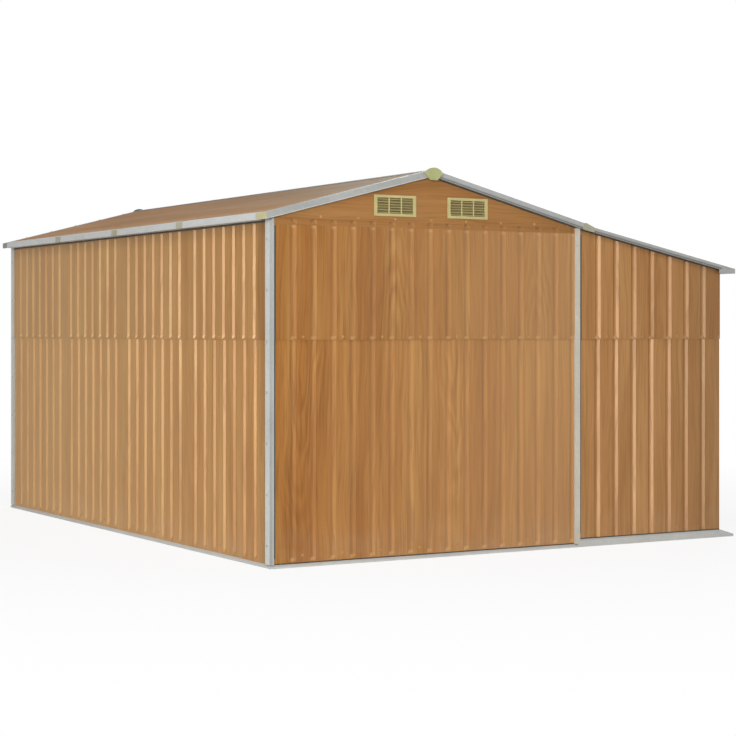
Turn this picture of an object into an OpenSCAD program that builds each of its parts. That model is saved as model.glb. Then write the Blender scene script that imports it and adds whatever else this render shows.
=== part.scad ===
// Metal storage shed with a gabled main part and a lean-to under a lower roof.
// Thin grooved sheets stand in base rails between corner posts and carry folded trims.
// X runs along the closed end wall, Y along the building, Z up. The origin is on the
// ground under the middle of the outline.

/* [Building] */
// Length between the outer faces of the two end walls
length = 3377; // [3340:1:3800]
// Width of the gabled main part
main_w = 1680; // [1665:1:1900]
// Width of the lean-to
lean_w = 904; // [840:1:1100]
// Height of the lap between the lower and the upper sheets
seam_z = 1012; // [800:1:1150]
// Height of the main roof's underside over the side wall
roof_z = 1583; // [1480:1:1700]
// Drop of the gable panel's lower edge below that height
gable_drop = 31; // [26:1:60]
// Drop of the lean-to roof below the main roof where they meet
knee_drop = 9; // [7:0.5:12]
// Slope of the main roof in degrees
main_pitch = 14.4; // [11:0.1:18]
// Slope of the lean-to roof in degrees
lean_pitch = 11.75; // [9:0.05:13]
// Reach of the main roof past the side wall
eave_reach = 43.5; // [38:0.5:60]
// Reach of the lean-to roof and its sill past the side wall
lean_reach = 86; // [70:1:110]
// Reach of the roof past the end walls
verge_reach = 13; // [10:0.5:25]

/* [Sheets] */
// Thickness of the wall and roof sheets
sheet_t = 0.6; // [0.4:0.05:1]
// Depth of the lower sheets behind the faces of the posts
recess = 10; // [9:0.5:14]
// Step of an upper sheet in front of the lower one
lap_step = 5; // [4:0.1:6]
// Width of a pressed groove at the face of a sheet
groove_w = 34; // [26:1:40]
// Length of the sloped end of a groove
groove_tip = 16; // [10:1:22]
// Depth of a groove in the side and lean-to sheets
groove_d = 8; // [5:0.5:10]
// Width of the floor of such a groove
groove_floor = 10; // [6:1:14]
// Depth of a groove in the main end sheets and the door leaves
end_groove_d = 4; // [3:0.5:6]
// Width of the floor of such a groove
end_groove_floor = 6; // [4:1:10]
// Number of sheets along a side wall
bays = 4; // [3:1:5]
// Extra length of wall that the first and last side sheets cover
end_bay_extra = 78.5; // [60:0.5:100]
// Grooves in one side sheet
bay_grooves = 7; // [5:1:7]
// Distance from the last groove of a side sheet to the first of the next
side_joint_gap = 175; // [120:1:200]
// Grooves in the main end wall
end_grooves = 16; // [14:1:16]
// Distance from the last end groove to the middle of the mid post
end_last = 27; // [24:0.5:60]
// Distance from the corner to the first end groove
end_first = 115.5; // [90:0.5:120]
// Grooves in the lean-to end wall
lean_grooves = 7; // [5:1:7]
// Distance from the last lean-to groove to the outer corner
lean_last = 112; // [80:1:140]
// Distance from the mid post to the first lean-to groove
lean_first = 126; // [100:1:140]
// Height of the grooved strip below the gable panel
skirt_h = 26; // [24:1:34]

/* [Rails, posts and trims] */
// Thickness of the galvanised profiles
trim_t = 1.2; // [0.8:0.1:1.5]
// Width of the base rails
rail_w = 50; // [40:1:70]
// Height of the main base rails
rail_h = 16; // [12:1:24]
// Height of the base rails under the lean-to
lean_rail_h = 38; // [30:1:50]
// Height of the sloped sill at its outer edge
sill_edge_h = 12; // [8:1:20]
// Width of a corner post on the end wall
post_end_w = 18; // [16:1:30]
// Width of a corner post on the side wall
post_side_w = 52; // [40:1:70]
// Size of the bevel on the post's corner
post_bevel = 9; // [5:1:11]
// Width of the mid post
mid_post_w = 30; // [24:1:40]
// Height of the main verge trims, square to the slope
verge_h = 32; // [26:1:40]
// Height of the lean-to verge trims, square to the slope
lean_verge_h = 24; // [20:1:32]
// Width of the trim flanges that lie on the roof
flange_w = 30; // [20:1:40]
// Height of the left eave trim
eave_h = 30; // [24:1:40]
// Height of the lean-to eave trim
lean_eave_h = 27; // [22:1:36]
// Half width of the ridge cap
ridge_half_w = 50; // [40:1:70]
// Length of an eave joiner
joiner_l = 42; // [30:1:60]
// Length of the plastic corner cap along the eave
corner_cap_l = 60; // [45:1:70]
// Width of the plastic corner cap on the end wall's side
corner_cap_w = 15; // [12:1:25]
// Distance from the mid post's middle to the far end of the verge joiner
verge_joiner_x = 95; // [85:1:120]
// Width of the open groove beside an eave joiner
joiner_groove = 28; // [15:1:40]

/* [Vents] */
// Width of a vent
vent_w = 225; // [180:1:240]
// Height of a vent
vent_h = 97; // [80:1:100]
// Distance of a vent's middle from the ridge
vent_x = 198.5; // [170:0.5:230]
// Height of a vent's middle above the gable panel's lower edge
vent_up = 74; // [56:1:86]
// Width of the vent's border
vent_border = 17; // [12:1:20]
// Width of the bars between the vent's columns
vent_bar = 6; // [4:0.5:8]
// Louvre blades in a column
vent_blades = 6; // [4:1:7]

/* [Doors] */
// Width of the doorway
door_w = 930; // [800:1:940]
// Drop of the doorway's head below the gable panel
door_head_drop = 52; // [45:1:150]
// Lap of each door leaf behind the wall beside it
door_lap = 22; // [16:1:30]
// Depth of the door leaves behind the wall sheets
door_set_back = 16; // [14:0.5:20]

/* [Hidden] */
// Room left between neighbouring pieces
gap = 0.3;
// Extra length of a cutting shape
past = 1;
// Thickness of the plastic joiners and caps
joiner_t = 2;

// Places across the building
left_out = eave_reach + gap + joiner_t;
overall_w = left_out + main_w + lean_w + lean_reach;
x_left = -overall_w / 2 + left_out;
x_mid = x_left + main_w;
x_right = x_mid + lean_w;
x_ridge = x_left + main_w / 2;
y_end = length / 2;

// Groove spacings
bay_l = (length - 2 * end_bay_extra) / bays;
side_pitch = (bay_l - side_joint_gap) / (bay_grooves - 1);
end_pitch = (main_w - end_first - end_last) / (end_grooves - 1);
lean_groove_pitch = (lean_w - lean_first - lean_last) / (lean_grooves - 1);

// Depth of the upper sheets and of the gable panel's strip behind the faces of the posts
upper_recess = recess - lap_step;
skirt_set = upper_recess - sheet_t - gap;
// Edge of a wall sheet behind a corner post
sheet_edge = recess + sheet_t + 1.4;
// Heights that follow the main roof
gable_z = roof_z - gable_drop;
vent_z = gable_z + vent_up;
skirt_low = gable_z - skirt_h;
door_head_z = gable_z - door_head_drop;
// Undersides of the roofs
main_tan = tan(main_pitch);
lean_tan = tan(lean_pitch);
knee_z = roof_z - knee_drop;
ridge_z = roof_z + main_tan * main_w / 2;
lean_eave_z = knee_z - lean_tan * lean_w;
// Top faces of the roof trims, square to the slope above the roof's underside
flange_n = sheet_t + gap;
trim_top_n = flange_n + trim_t;

// Soffits of the eave trims
left_soffit_z = roof_z - main_tan * eave_reach + trim_top_n - eave_h;
lean_top_z = lean_eave_z - lean_tan * (lean_reach - flange_w / 2) + trim_top_n;
lean_soffit_z = lean_top_z - lean_eave_h;
// Clear flat between a base rail and the end of a groove
groove_margin = 11;
// Flat between the lower edge of an upper sheet and the end of its grooves
groove_start = 2;
// Tops of the wall sheets, hidden behind the trims
end_sheet_top = gable_z + 20;
side_sheet_top = roof_z - 12;
right_sheet_top = lean_eave_z - 8;

door_x = x_ridge;
door_left = door_x - door_w / 2;
door_right = door_x + door_w / 2;

brown = [0.66, 0.45, 0.25];
steel = [0.76, 0.77, 0.77];
cream = [0.80, 0.76, 0.52];

// Extrusions of an outline along the three axes
module run_x(x0, x1) {
  translate([x0, 0, 0]) rotate([90, 0, 90]) linear_extrude(x1 - x0) children();
}
module run_y(y0, y1) {
  translate([0, y1, 0]) rotate([90, 0, 0]) linear_extrude(y1 - y0) children();
}
module run_z(z0, z1) {
  translate([0, 0, z0]) linear_extrude(z1 - z0) children();
}

module at_door_end() { mirror([0, 1, 0]) children(); }
module at_both_ends() {
  children();
  at_door_end() children();
}
// Turns a wall that faces -Y to face the left or the right side
module on_left_side() { translate([x_left, 0, 0]) rotate([0, 0, -90]) children(); }
module on_right_side() { translate([x_right, 0, 0]) rotate([0, 0, 90]) children(); }
// Slopes: X runs along the slope from the wall's face, Z square to it
module on_left_slope() { translate([x_left, 0, roof_z]) rotate([0, -main_pitch, 0]) children(); }
module on_right_slope() {
  translate([x_ridge, 0, 0]) mirror([1, 0, 0]) translate([-x_ridge, 0, 0])
    on_left_slope() children();
}
// Points on the end view of a slope, s along it from the wall's face and n square to it
function left_pt(s, n) = [x_left + s * cos(main_pitch) - n * sin(main_pitch),
                          roof_z + s * sin(main_pitch) + n * cos(main_pitch)];
function right_pt(s, n) = [x_left + x_mid - left_pt(s, n)[0], left_pt(s, n)[1]];
function lean_pt(s, n) = [x_mid + s * cos(lean_pitch) + n * sin(lean_pitch),
                          knee_z - s * sin(lean_pitch) + n * cos(lean_pitch)];
module on_lean_slope() { translate([x_mid, 0, knee_z]) rotate([0, lean_pitch, 0]) children(); }

// How a groove is pressed: its depth and the width of its floor
side_press = [groove_d, groove_floor];
end_press = [end_groove_d, end_groove_floor];

// The body of one pressed groove, or the cut in front of it. It goes in from a face at y = 0
// and is closed by a sloped end below.
module groove(x, z0, z1, press, cut) {
  depth = press[0];
  floor_half = press[1] / 2;
  face_y = cut ? -past : sheet_t / 2;
  floor_y = cut ? depth : depth + sheet_t;
  // The flanks and the sloped end keep their lines out to face_y
  share = (floor_y - face_y) / depth;
  foot_half = floor_half + share * (groove_w / 2 - floor_half);
  low = z0 + groove_tip * (1 - share);
  intersection() {
    run_z(low, z1) polygon([[x - foot_half, face_y], [x - floor_half, floor_y],
                            [x + floor_half, floor_y], [x + foot_half, face_y]]);
    run_x(x - groove_w, x + groove_w)
      polygon([[face_y, low], [floor_y, z0 + groove_tip], [floor_y, z1], [face_y, z1]]);
  }
}

// A grooved sheet that faces -Y, its flat at y = 0, with a level or a sloped top
module grooved_sheet(x0, x1, z0, top0, top1, grooves, groove_low, press) {
  high = max(top0, top1) + past;
  difference() {
    intersection() {
      union() {
        run_y(0, sheet_t) translate([x0 - past, z0 - past])
          square([x1 - x0 + 2 * past, high - z0 + past]);
        for (x = grooves) groove(x, groove_low, high, press, false);
      }
      run_y(-past, press[0] + sheet_t + past)
        polygon([[x0, z0], [x1, z0], [x1, top1], [x0, top0]]);
    }
    for (x = grooves) groove(x, groove_low, high + past, press, true);
  }
}

// The lower tier of a sheet between two edges, and the upper one with a lip over the lower
module lower_sheet(x0, x1, grooves, press) {
  grooved_sheet(x0, x1, trim_t, seam_z, seam_z, grooves, rail_h + groove_margin, press);
}
module upper_sheet(x0, x1, top0, top1, grooves, press) {
  low = seam_z + gap;
  grooved_sheet(x0, x1, low, top0, top1, grooves, low + groove_start, press);
  run_x(x0, x1) translate([0, low]) square([lap_step + sheet_t, sheet_t]);
}

function bay_edge(k) = (k - bays / 2) * bay_l;
function side_grooves(k) = [for (j = [0 : bay_grooves - 1])
  bay_edge(k) + bay_l / 2 + (j - (bay_grooves - 1) / 2) * side_pitch];
function side_start(k) = k == 0 ? -y_end + sheet_edge : bay_edge(k) + gap / 2;
function side_stop(k) = k == bays - 1 ? y_end - sheet_edge : bay_edge(k + 1) - gap / 2;

end_list = [for (i = [0 : end_grooves - 1]) x_left + end_first + i * end_pitch];
lean_list = [for (i = [0 : lean_grooves - 1]) x_mid + lean_first + i * lean_groove_pitch];
// Joint between the two sheets of the closed end wall
end_joint = (end_list[floor(end_grooves / 2) - 1] + end_list[floor(end_grooves / 2)]) / 2;
left_of_joint = [for (x = end_list) if (x < end_joint) x];
right_of_joint = [for (x = end_list) if (x > end_joint) x];
left_of_door = [for (x = end_list) if (x + groove_w / 2 < door_left - rail_w / 4) x];
right_of_door = [for (x = end_list) if (x - groove_w / 2 > door_right + rail_w / 4) x];

module left_wall_lower() {
  color(brown) on_left_side() translate([0, recess, 0])
    for (k = [0 : bays - 1]) lower_sheet(side_start(k), side_stop(k), side_grooves(k), side_press);
}
module left_wall_upper() {
  color(brown) on_left_side() translate([0, upper_recess, 0])
    for (k = [0 : bays - 1])
      upper_sheet(side_start(k), side_stop(k), side_sheet_top, side_sheet_top, side_grooves(k),
                  side_press);
}
module right_wall_lower() {
  color(brown) on_right_side() translate([0, recess, 0])
    for (k = [0 : bays - 1]) lower_sheet(side_start(k), side_stop(k), side_grooves(k), side_press);
}
module right_wall_upper() {
  color(brown) on_right_side() translate([0, upper_recess, 0])
    for (k = [0 : bays - 1])
      upper_sheet(side_start(k), side_stop(k), right_sheet_top, right_sheet_top, side_grooves(k),
                  side_press);
}

module main_end_sheet_lower(x0, x1, grooves) {
  color(brown) translate([0, -y_end + recess, 0]) lower_sheet(x0, x1, grooves, end_press);
}
module main_end_sheet_upper(x0, x1, grooves) {
  color(brown) translate([0, -y_end + upper_recess, 0])
    upper_sheet(x0, x1, end_sheet_top, end_sheet_top, grooves, end_press);
}
module closed_end_wall_lower() {
  main_end_sheet_lower(x_left + sheet_edge, end_joint - gap / 2, left_of_joint);
  main_end_sheet_lower(end_joint + gap / 2, x_mid - gap, right_of_joint);
}
module closed_end_wall_upper() {
  main_end_sheet_upper(x_left + sheet_edge, end_joint - gap / 2, left_of_joint);
  main_end_sheet_upper(end_joint + gap / 2, x_mid - gap, right_of_joint);
}
module door_end_wall_lower() {
  at_door_end() {
    main_end_sheet_lower(x_left + sheet_edge, door_left, left_of_door);
    main_end_sheet_lower(door_right, x_mid - gap, right_of_door);
  }
}
module door_end_wall_upper() {
  at_door_end() {
    main_end_sheet_upper(x_left + sheet_edge, door_left, left_of_door);
    main_end_sheet_upper(door_right, x_mid - gap, right_of_door);
  }
}

// The lean-to's end sheet is folded round the outer corner
lean_fold = 40;
function lean_under(x) = knee_z - lean_tan * (x - x_mid);
lean_sheet_drop = 6;
module lean_end_fold(z0, z1, depth) {
  run_z(z0, z1) translate([x_right - sheet_t, -y_end + depth]) square([sheet_t, lean_fold]);
}
module lean_end_sheet_lower() {
  color(brown) {
    translate([0, -y_end + recess, 0])
      lower_sheet(x_mid + gap, x_right, lean_list, side_press);
    lean_end_fold(lean_rail_h + gap, seam_z, recess);
  }
}
module lean_end_sheet_upper() {
  color(brown) {
    translate([0, -y_end + upper_recess, 0])
      upper_sheet(x_mid + gap, x_right, lean_under(x_mid) - lean_sheet_drop,
                  lean_under(x_right) - lean_sheet_drop, lean_list, side_press);
    lean_end_fold(seam_z + gap, lean_soffit_z - gap, upper_recess);
  }
}
module lean_to_wall_lower() { lean_end_sheet_lower(); }
module lean_to_wall_upper() { lean_end_sheet_upper(); }
module lean_to_door_end_wall_lower() { at_door_end() lean_end_sheet_lower(); }
module lean_to_door_end_wall_upper() { at_door_end() lean_end_sheet_upper(); }

// Base rails: a channel open at the top, drawn from its outer face inwards, with the
// outer lip sloped in to the sheets
rail_slope_h = 8;
module rail_outline(lip) {
  reach = recess - 2 * gap;
  polygon([[0, 0], [rail_w, 0], [rail_w, rail_h], [rail_w - trim_t, rail_h], [rail_w - trim_t, trim_t],
           [trim_t, trim_t], [trim_t, lip - rail_slope_h - trim_t / 2], [reach, lip - 1.4 * trim_t],
           [reach, lip], [0, lip - rail_slope_h]]);
}
// Plan of a rail along Y with both ends mitred into the corners
module mitred_side(x, sign) {
  run_z(-past, lean_rail_h + past)
    polygon([for (p = [[0, -y_end + gap], [rail_w, -y_end + rail_w + gap],
                       [rail_w, y_end - rail_w - gap], [0, y_end - gap]])
             [x + sign * p[0], p[1]]]);
}
module base_rail_left() {
  color(steel) intersection() {
    run_y(-y_end, y_end) translate([x_left, 0]) rail_outline(rail_h);
    mitred_side(x_left, 1);
  }
}
// The main end rails are mitred at the left corner and square at the mid post
module end_rail() {
  intersection() {
    run_x(x_left, x_mid - gap / 2) translate([-y_end, 0]) rail_outline(rail_h);
    run_z(-past, rail_h + past)
      polygon([[x_left, -y_end], [x_mid, -y_end], [x_mid, -y_end + rail_w],
               [x_left + rail_w, -y_end + rail_w]]);
  }
}
module base_rail_closed_end() { color(steel) end_rail(); }
module base_rail_door_end() { color(steel) at_door_end() end_rail(); }
// Under the lean-to the outer lip is taller, and it is cut short at the mid post
module base_rails_lean_to() {
  color(steel) at_both_ends() difference() {
    intersection() {
      run_x(x_mid + gap / 2, x_right) translate([-y_end, 0]) rail_outline(lean_rail_h);
      run_z(-past, lean_rail_h + past)
        polygon([[x_mid, -y_end], [x_right, -y_end], [x_right - rail_w, -y_end + rail_w],
                 [x_mid, -y_end + rail_w]]);
    }
    run_x(x_mid - past, x_mid + mid_post_w / 2 + gap) translate([-y_end - past, rail_h])
      square([rail_w, lean_rail_h]);
  }
}
// The right rail carries a sloped sill on the outside, open below
module sill_outline(inset) {
  polygon([[0, 0], [lean_reach - inset, 0], [lean_reach - inset, sill_edge_h - inset],
           [0, lean_rail_h - inset]]);
}
module base_rail_right() {
  color(steel) {
    intersection() {
      run_y(-y_end, y_end) translate([x_right, 0]) mirror([1, 0]) rail_outline(lean_rail_h);
      mitred_side(x_right, -1);
    }
    difference() {
      run_y(-y_end, y_end) translate([x_right, 0]) sill_outline(0);
      translate([0, 0, -past]) run_y(-y_end + trim_t, y_end - trim_t)
        translate([x_right + trim_t, 0]) sill_outline(2 * trim_t);
      run_y(-y_end + trim_t, y_end - trim_t)
        translate([x_right + trim_t, -past]) square([lean_reach - 2 * trim_t, 2 * past]);
    }
  }
}

// Corner post: two faces with a bevelled corner, and returns to the lower and the upper sheets
post_foot_z = rail_h + gap;
module corner_post_outline(reach) {
  polygon([
    [post_bevel, 0], [post_end_w, 0], [post_end_w, reach], [post_end_w - trim_t, reach],
    [post_end_w - trim_t, trim_t], [post_bevel + trim_t / 2, trim_t],
    [trim_t, post_bevel + trim_t / 2], [trim_t, post_side_w - trim_t],
    [reach, post_side_w - trim_t], [reach, post_side_w], [0, post_side_w], [0, post_bevel]
  ]);
}
module corner_post() {
  color(steel) translate([x_left, -y_end, 0]) {
    run_z(post_foot_z, seam_z) corner_post_outline(recess - gap);
    run_z(seam_z, gable_z - gap) corner_post_outline(upper_recess - gap);
  }
}
module corner_post_closed_end() { corner_post(); }
module corner_post_door_end() { at_door_end() corner_post(); }

// Mid post: a hat section over the joint of the two end walls
module mid_post_outline(reach) {
  difference() {
    translate([-mid_post_w / 2, 0]) square([mid_post_w, reach]);
    translate([-mid_post_w / 2 + trim_t, trim_t]) square([mid_post_w - 2 * trim_t, reach]);
  }
}
module mid_post() {
  color(steel) translate([x_mid, -y_end, 0]) {
    run_z(post_foot_z, seam_z) mid_post_outline(recess - gap);
    run_z(seam_z, gable_z - gap) mid_post_outline(upper_recess - gap);
  }
}
module mid_post_closed_end() { mid_post(); }
module mid_post_door_end() { at_door_end() mid_post(); }

// Angles inside the right corners
angle_w = 32;
module corner_angles_right() {
  inset = recess + sheet_t + gap;
  color(steel) at_both_ends() run_z(rail_h + gap, lean_soffit_z)
    translate([x_right - inset, -y_end + inset]) {
      translate([-angle_w, 0]) square([angle_w, trim_t]);
      translate([-trim_t, 0]) square([trim_t, angle_w]);
    }
}

// Gable panel: a flat sheet with two openings for the vents, and below it a lip to a grooved
// strip that laps over the wall between the posts
panel_set = 2;
vent_hole_w = vent_w - vent_border;
vent_hole_h = vent_h - vent_border;
module gable_panel() {
  x0 = x_left + gap;
  x1 = x_mid - gap;
  drop = sheet_t;
  color(brown) translate([0, -y_end + panel_set, 0]) {
    run_y(0, sheet_t) difference() {
      polygon([[x0, gable_z], [x1, gable_z], [x1, roof_z - drop], [x_ridge, ridge_z - drop],
               [x0, roof_z - drop]]);
      for (side = [-1, 1]) translate([x_ridge + side * vent_x, vent_z])
        square([vent_hole_w, vent_hole_h], center = true);
    }
    run_x(x0, x1) translate([0, gable_z]) square([skirt_set + sheet_t - panel_set, sheet_t]);
  }
  color(brown) translate([0, -y_end + skirt_set, 0])
    grooved_sheet(x_left + post_end_w + gap, x_mid - mid_post_w / 2 - gap, skirt_low,
                  gable_z + sheet_t / 2, gable_z + sheet_t / 2, end_list, skirt_low + groove_start,
                  end_press);
}
module gable_panel_closed_end() { gable_panel(); }
module gable_panel_door_end() { at_door_end() gable_panel(); }

// Louvred vent: a bordered frame in front of the panel, with a collar through it
vent_proud = 5;
vent_collar = 7;
blade_t = 1.6;
blade_tilt = 38;
module vent(side) {
  inner_w = vent_w - 2 * vent_border;
  inner_h = vent_h - 2 * vent_border * 0.72;
  column_w = (inner_w - 2 * vent_bar) / 3;
  blade_pitch = inner_h / vent_blades;
  front_y = -y_end + panel_set - gap - vent_proud;
  color(cream) translate([x_ridge + side * vent_x, front_y, vent_z]) {
    difference() {
      union() {
        run_y(0, vent_proud) square([vent_w, vent_h], center = true);
        run_y(0, vent_proud + vent_collar)
          square([vent_hole_w - 2 * gap, vent_hole_h - 2 * gap], center = true);
      }
      for (c = [-1, 0, 1]) run_y(-past, vent_proud + vent_collar + past)
        translate([c * (column_w + vent_bar), 0]) square([column_w, inner_h], center = true);
    }
    for (c = [-1, 0, 1], r = [0 : vent_blades - 1])
      translate([c * (column_w + vent_bar), vent_proud / 2 + 1,
                 (r - (vent_blades - 1) / 2) * blade_pitch])
        rotate([blade_tilt, 0, 0]) cube([column_w + vent_bar / 4, vent_proud + 3, blade_t], center = true);
  }
}
module vent_closed_end_left() { vent(-1); }
module vent_closed_end_right() { vent(1); }
module vents_door_end() {
  at_door_end() {
    vent(-1);
    vent(1);
  }
}

// Roof sheets, one for each bay, flat and lapped under the trims
roof_end = y_end + verge_reach - trim_t - gap;
function roof_start(k) = k == 0 ? -roof_end : bay_edge(k) + gap / 2;
function roof_stop(k) = k == bays - 1 ? roof_end : bay_edge(k + 1) - gap / 2;
main_slope_l = main_w / 2 / cos(main_pitch);
eave_slope_l = eave_reach / cos(main_pitch);
lean_slope_l = (lean_w + lean_reach) / cos(lean_pitch);
ridge_room = 1;
module roof_sheets(s0, s1) {
  color(brown) for (k = [0 : bays - 1])
    run_y(roof_start(k), roof_stop(k)) translate([s0, 0]) square([s1 - s0, sheet_t]);
}
module roof_left() {
  on_left_slope() roof_sheets(-eave_slope_l + trim_t + gap, main_slope_l - ridge_room);
}
// The right slope's lower edge is turned down over the lean-to roof
module roof_right() {
  edge = x_mid + eave_reach;
  low = lean_under(edge) + sheet_t / cos(lean_pitch) + gap;
  under = roof_z - main_tan * eave_reach;
  t = sheet_t / cos(main_pitch);
  peak = x_ridge + ridge_room;
  peak_z = ridge_z - main_tan * ridge_room;
  color(brown) for (k = [0 : bays - 1]) run_y(roof_start(k), roof_stop(k))
    polygon([[edge - sheet_t, low], [edge, low], [edge, under + t], [peak, peak_z + t], [peak, peak_z],
             [edge - sheet_t, under + main_tan * sheet_t]]);
}
module roof_lean_to() {
  on_lean_slope() roof_sheets(2 * gap, lean_slope_l - trim_t - 2);
}

// Ridge cap over both slopes, between the flanges of the verge trims
ridge_cap_end = y_end + verge_reach - flange_w - gap;
module ridge_cap() {
  low = ridge_half_w * main_tan;
  n = flange_n / cos(main_pitch);
  t = trim_t / cos(main_pitch);
  color(steel) run_y(-ridge_cap_end, ridge_cap_end) translate([x_ridge, ridge_z + n])
    polygon([[-ridge_half_w, -low], [0, 0], [ridge_half_w, -low], [ridge_half_w, t - low], [0, t],
             [-ridge_half_w, t - low]]);
}
// Plastic end cap of the ridge: a domed head that narrows to a lobe below
cap_depth = 12;
cap_head_r = 56;
cap_rise = 10;
cap_h = 58;
module ridge_end_cap_outline() {
  wide = ridge_half_w;
  translate([0, cap_rise]) intersection() {
    translate([0, -cap_head_r]) circle(r = cap_head_r, $fn = 64);
    polygon([[-wide, 0], [wide, 0], [wide, -0.46 * cap_h], [0.52 * wide, -0.86 * cap_h],
             [0.34 * wide, -cap_h], [-0.34 * wide, -cap_h], [-0.52 * wide, -0.86 * cap_h],
             [-wide, -0.46 * cap_h]]);
  }
}
module ridge_end_caps() {
  color(cream) at_both_ends()
    run_y(-y_end - verge_reach - cap_depth, -y_end - verge_reach - gap)
      translate([x_ridge, ridge_z]) ridge_end_cap_outline();
}

// Verge trims: a channel that caps the roof's end, drawn from its face inwards
module verge_outline(h, lip) {
  polygon([[0, -h], [lip, -h], [lip, trim_t - h], [trim_t, trim_t - h], [trim_t, -trim_t],
           [flange_w, -trim_t], [flange_w, 0], [0, 0]]);
}
verge_lip = verge_reach + panel_set - gap;
module verge_run(s0, s1, h) {
  color(steel) run_x(s0, s1) translate([-y_end - verge_reach, trim_top_n]) verge_outline(h, verge_lip);
}
// Left trim starts behind the corner cap, and both stop at the ridge
module main_verge(s0) {
  intersection() {
    on_left_slope() verge_run(s0, main_slope_l + verge_h, verge_h);
    run_y(-y_end - 2 * verge_reach, -y_end + flange_w + past)
      polygon([[x_left - 2 * eave_reach, 0], [x_ridge - gap / 2, 0],
               [x_ridge - gap / 2, 2 * ridge_z], [x_left - 2 * eave_reach, 2 * ridge_z]]);
  }
}
left_verge_start = -(eave_reach - corner_cap_w - gap) / cos(main_pitch);
module verge_left() { main_verge(left_verge_start); }
module verge_right() {
  translate([x_ridge, 0, 0]) mirror([1, 0, 0]) translate([-x_ridge, 0, 0])
    main_verge(left_verge_start);
}
module verge_lean() {
  on_lean_slope() verge_run(lean_verge_start, lean_w / cos(lean_pitch) - gap, lean_verge_h);
}
lean_verge_start = (verge_joiner_x + gap) / cos(lean_pitch);
module verge_trim_left() { verge_left(); }
module verge_trim_right() { verge_right(); }
module verge_trim_lean_to() { verge_lean(); }
module verge_trims_door_end() {
  at_door_end() {
    verge_left();
    verge_right();
    verge_lean();
  }
}
// Plastic joiner over the bend between the right and the lean-to verges
joiner_bump = 4;
module verge_joiners() {
  s0 = left_verge_start - gap;
  s1 = lean_verge_start - gap;
  color(cream) at_both_ends() {
    run_y(-y_end - verge_reach, -y_end - verge_reach + trim_t)
      polygon([right_pt(s0, trim_top_n), right_pt(-eave_slope_l, trim_top_n + joiner_bump),
               lean_pt(s1, trim_top_n), lean_pt(s1, trim_top_n - lean_verge_h),
               right_pt(s0, trim_top_n - verge_h)]);
    on_right_slope() run_x(-eave_slope_l, left_verge_start - gap)
      translate([-y_end - verge_reach, flange_n]) square([flange_w, trim_t]);
    on_lean_slope() run_x(eave_slope_l + 2, lean_verge_start - gap)
      translate([-y_end - verge_reach, flange_n]) square([flange_w, trim_t]);
  }
}

// Eave trims. The left one is in lengths with a groove before each joiner.
function eave_start(k) = k == 0 ? -y_end + corner_cap_l : bay_edge(k) - joiner_l / 2 + gap;
function eave_stop(k) = k == bays - 1 ? y_end - corner_cap_l
  : bay_edge(k + 1) - joiner_l / 2 - joiner_groove;
module eave_trim_left() {
  face = x_left - eave_reach;
  top = left_soffit_z + eave_h;
  rise = flange_w * main_tan;
  inner = x_left + upper_recess - gap;
  color(steel) for (k = [0 : bays - 1]) run_y(eave_start(k), eave_stop(k))
    polygon([[face, left_soffit_z], [inner, left_soffit_z],
             [inner, left_soffit_z + trim_t], [face + trim_t, left_soffit_z + trim_t],
             [face + trim_t, top - trim_t], [face + flange_w, top - trim_t + rise],
             [face + flange_w, top + rise], [face, top]]);
}
module eave_trim_lean_to() {
  face = x_right + lean_reach;
  lip = flange_w / 2;
  rise = lip * lean_tan;
  // The end plates fill the box up to the verge trim and run on a little below it
  verge_stop = lean_w / cos(lean_pitch);
  verge_low_n = trim_top_n - lean_verge_h - gap;
  stub = lean_pt(verge_stop - flange_w / 2, verge_low_n);
  color(steel) {
    run_y(-y_end - verge_reach, y_end + verge_reach)
      polygon([[face, lean_soffit_z], [x_right + gap, lean_soffit_z],
               [x_right + gap, lean_soffit_z + trim_t], [face - trim_t, lean_soffit_z + trim_t],
               [face - trim_t, lean_top_z - rise - trim_t], [face - lip, lean_top_z - trim_t],
               [face - lip, lean_top_z], [face, lean_top_z - rise]]);
    at_both_ends() run_y(-y_end - verge_reach, -y_end - verge_reach + trim_t)
      polygon([[stub[0], lean_soffit_z], [face, lean_soffit_z], [face, lean_top_z - rise],
               [face - lip, lean_top_z], lean_pt(verge_stop, trim_top_n),
               lean_pt(verge_stop, verge_low_n), stub]);
  }
}
// Joiners of the eave trim: a plate on its face, and a tongue behind the groove
module eave_joiners() {
  face = x_left - eave_reach;
  half = joiner_l / 2;
  back = face + trim_t + gap;
  low = left_soffit_z + trim_t + gap;
  high = left_soffit_z + eave_h - trim_t - gap;
  color(cream) for (k = [1 : bays - 1]) translate([0, bay_edge(k), 0]) {
    run_z(left_soffit_z, left_soffit_z + eave_h)
      translate([face - gap - joiner_t, -half - joiner_t]) square([joiner_t, joiner_l + joiner_t]);
    run_z(low, high) translate([face - gap - joiner_t, -half - joiner_t])
      square([back - face + gap + 2 * joiner_t, joiner_t]);
    run_z(low, high) translate([back, -half - 2 * joiner_groove])
      square([joiner_t, 2 * joiner_groove]);
  }
}
// Plastic caps at the left corners of the roof
module eave_corner_caps() {
  face = x_left - eave_reach;
  top = left_soffit_z + eave_h;
  rise = corner_cap_w * main_tan;
  color(cream) at_both_ends() difference() {
    run_y(-y_end - verge_reach, -y_end + corner_cap_l - gap)
      polygon([[face, left_soffit_z], left_pt(left_verge_start - gap, trim_top_n - verge_h),
               left_pt(left_verge_start - gap, trim_top_n), [face, top]]);
    run_y(-y_end - verge_reach + trim_t, -y_end + corner_cap_l + past)
      polygon([[face + trim_t, left_soffit_z - past],
               [face + 2 * corner_cap_w, left_soffit_z - past],
               [face + 2 * corner_cap_w, top + 2 * rise - trim_t],
               [face + trim_t, top - trim_t]]);
  }
}

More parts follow.
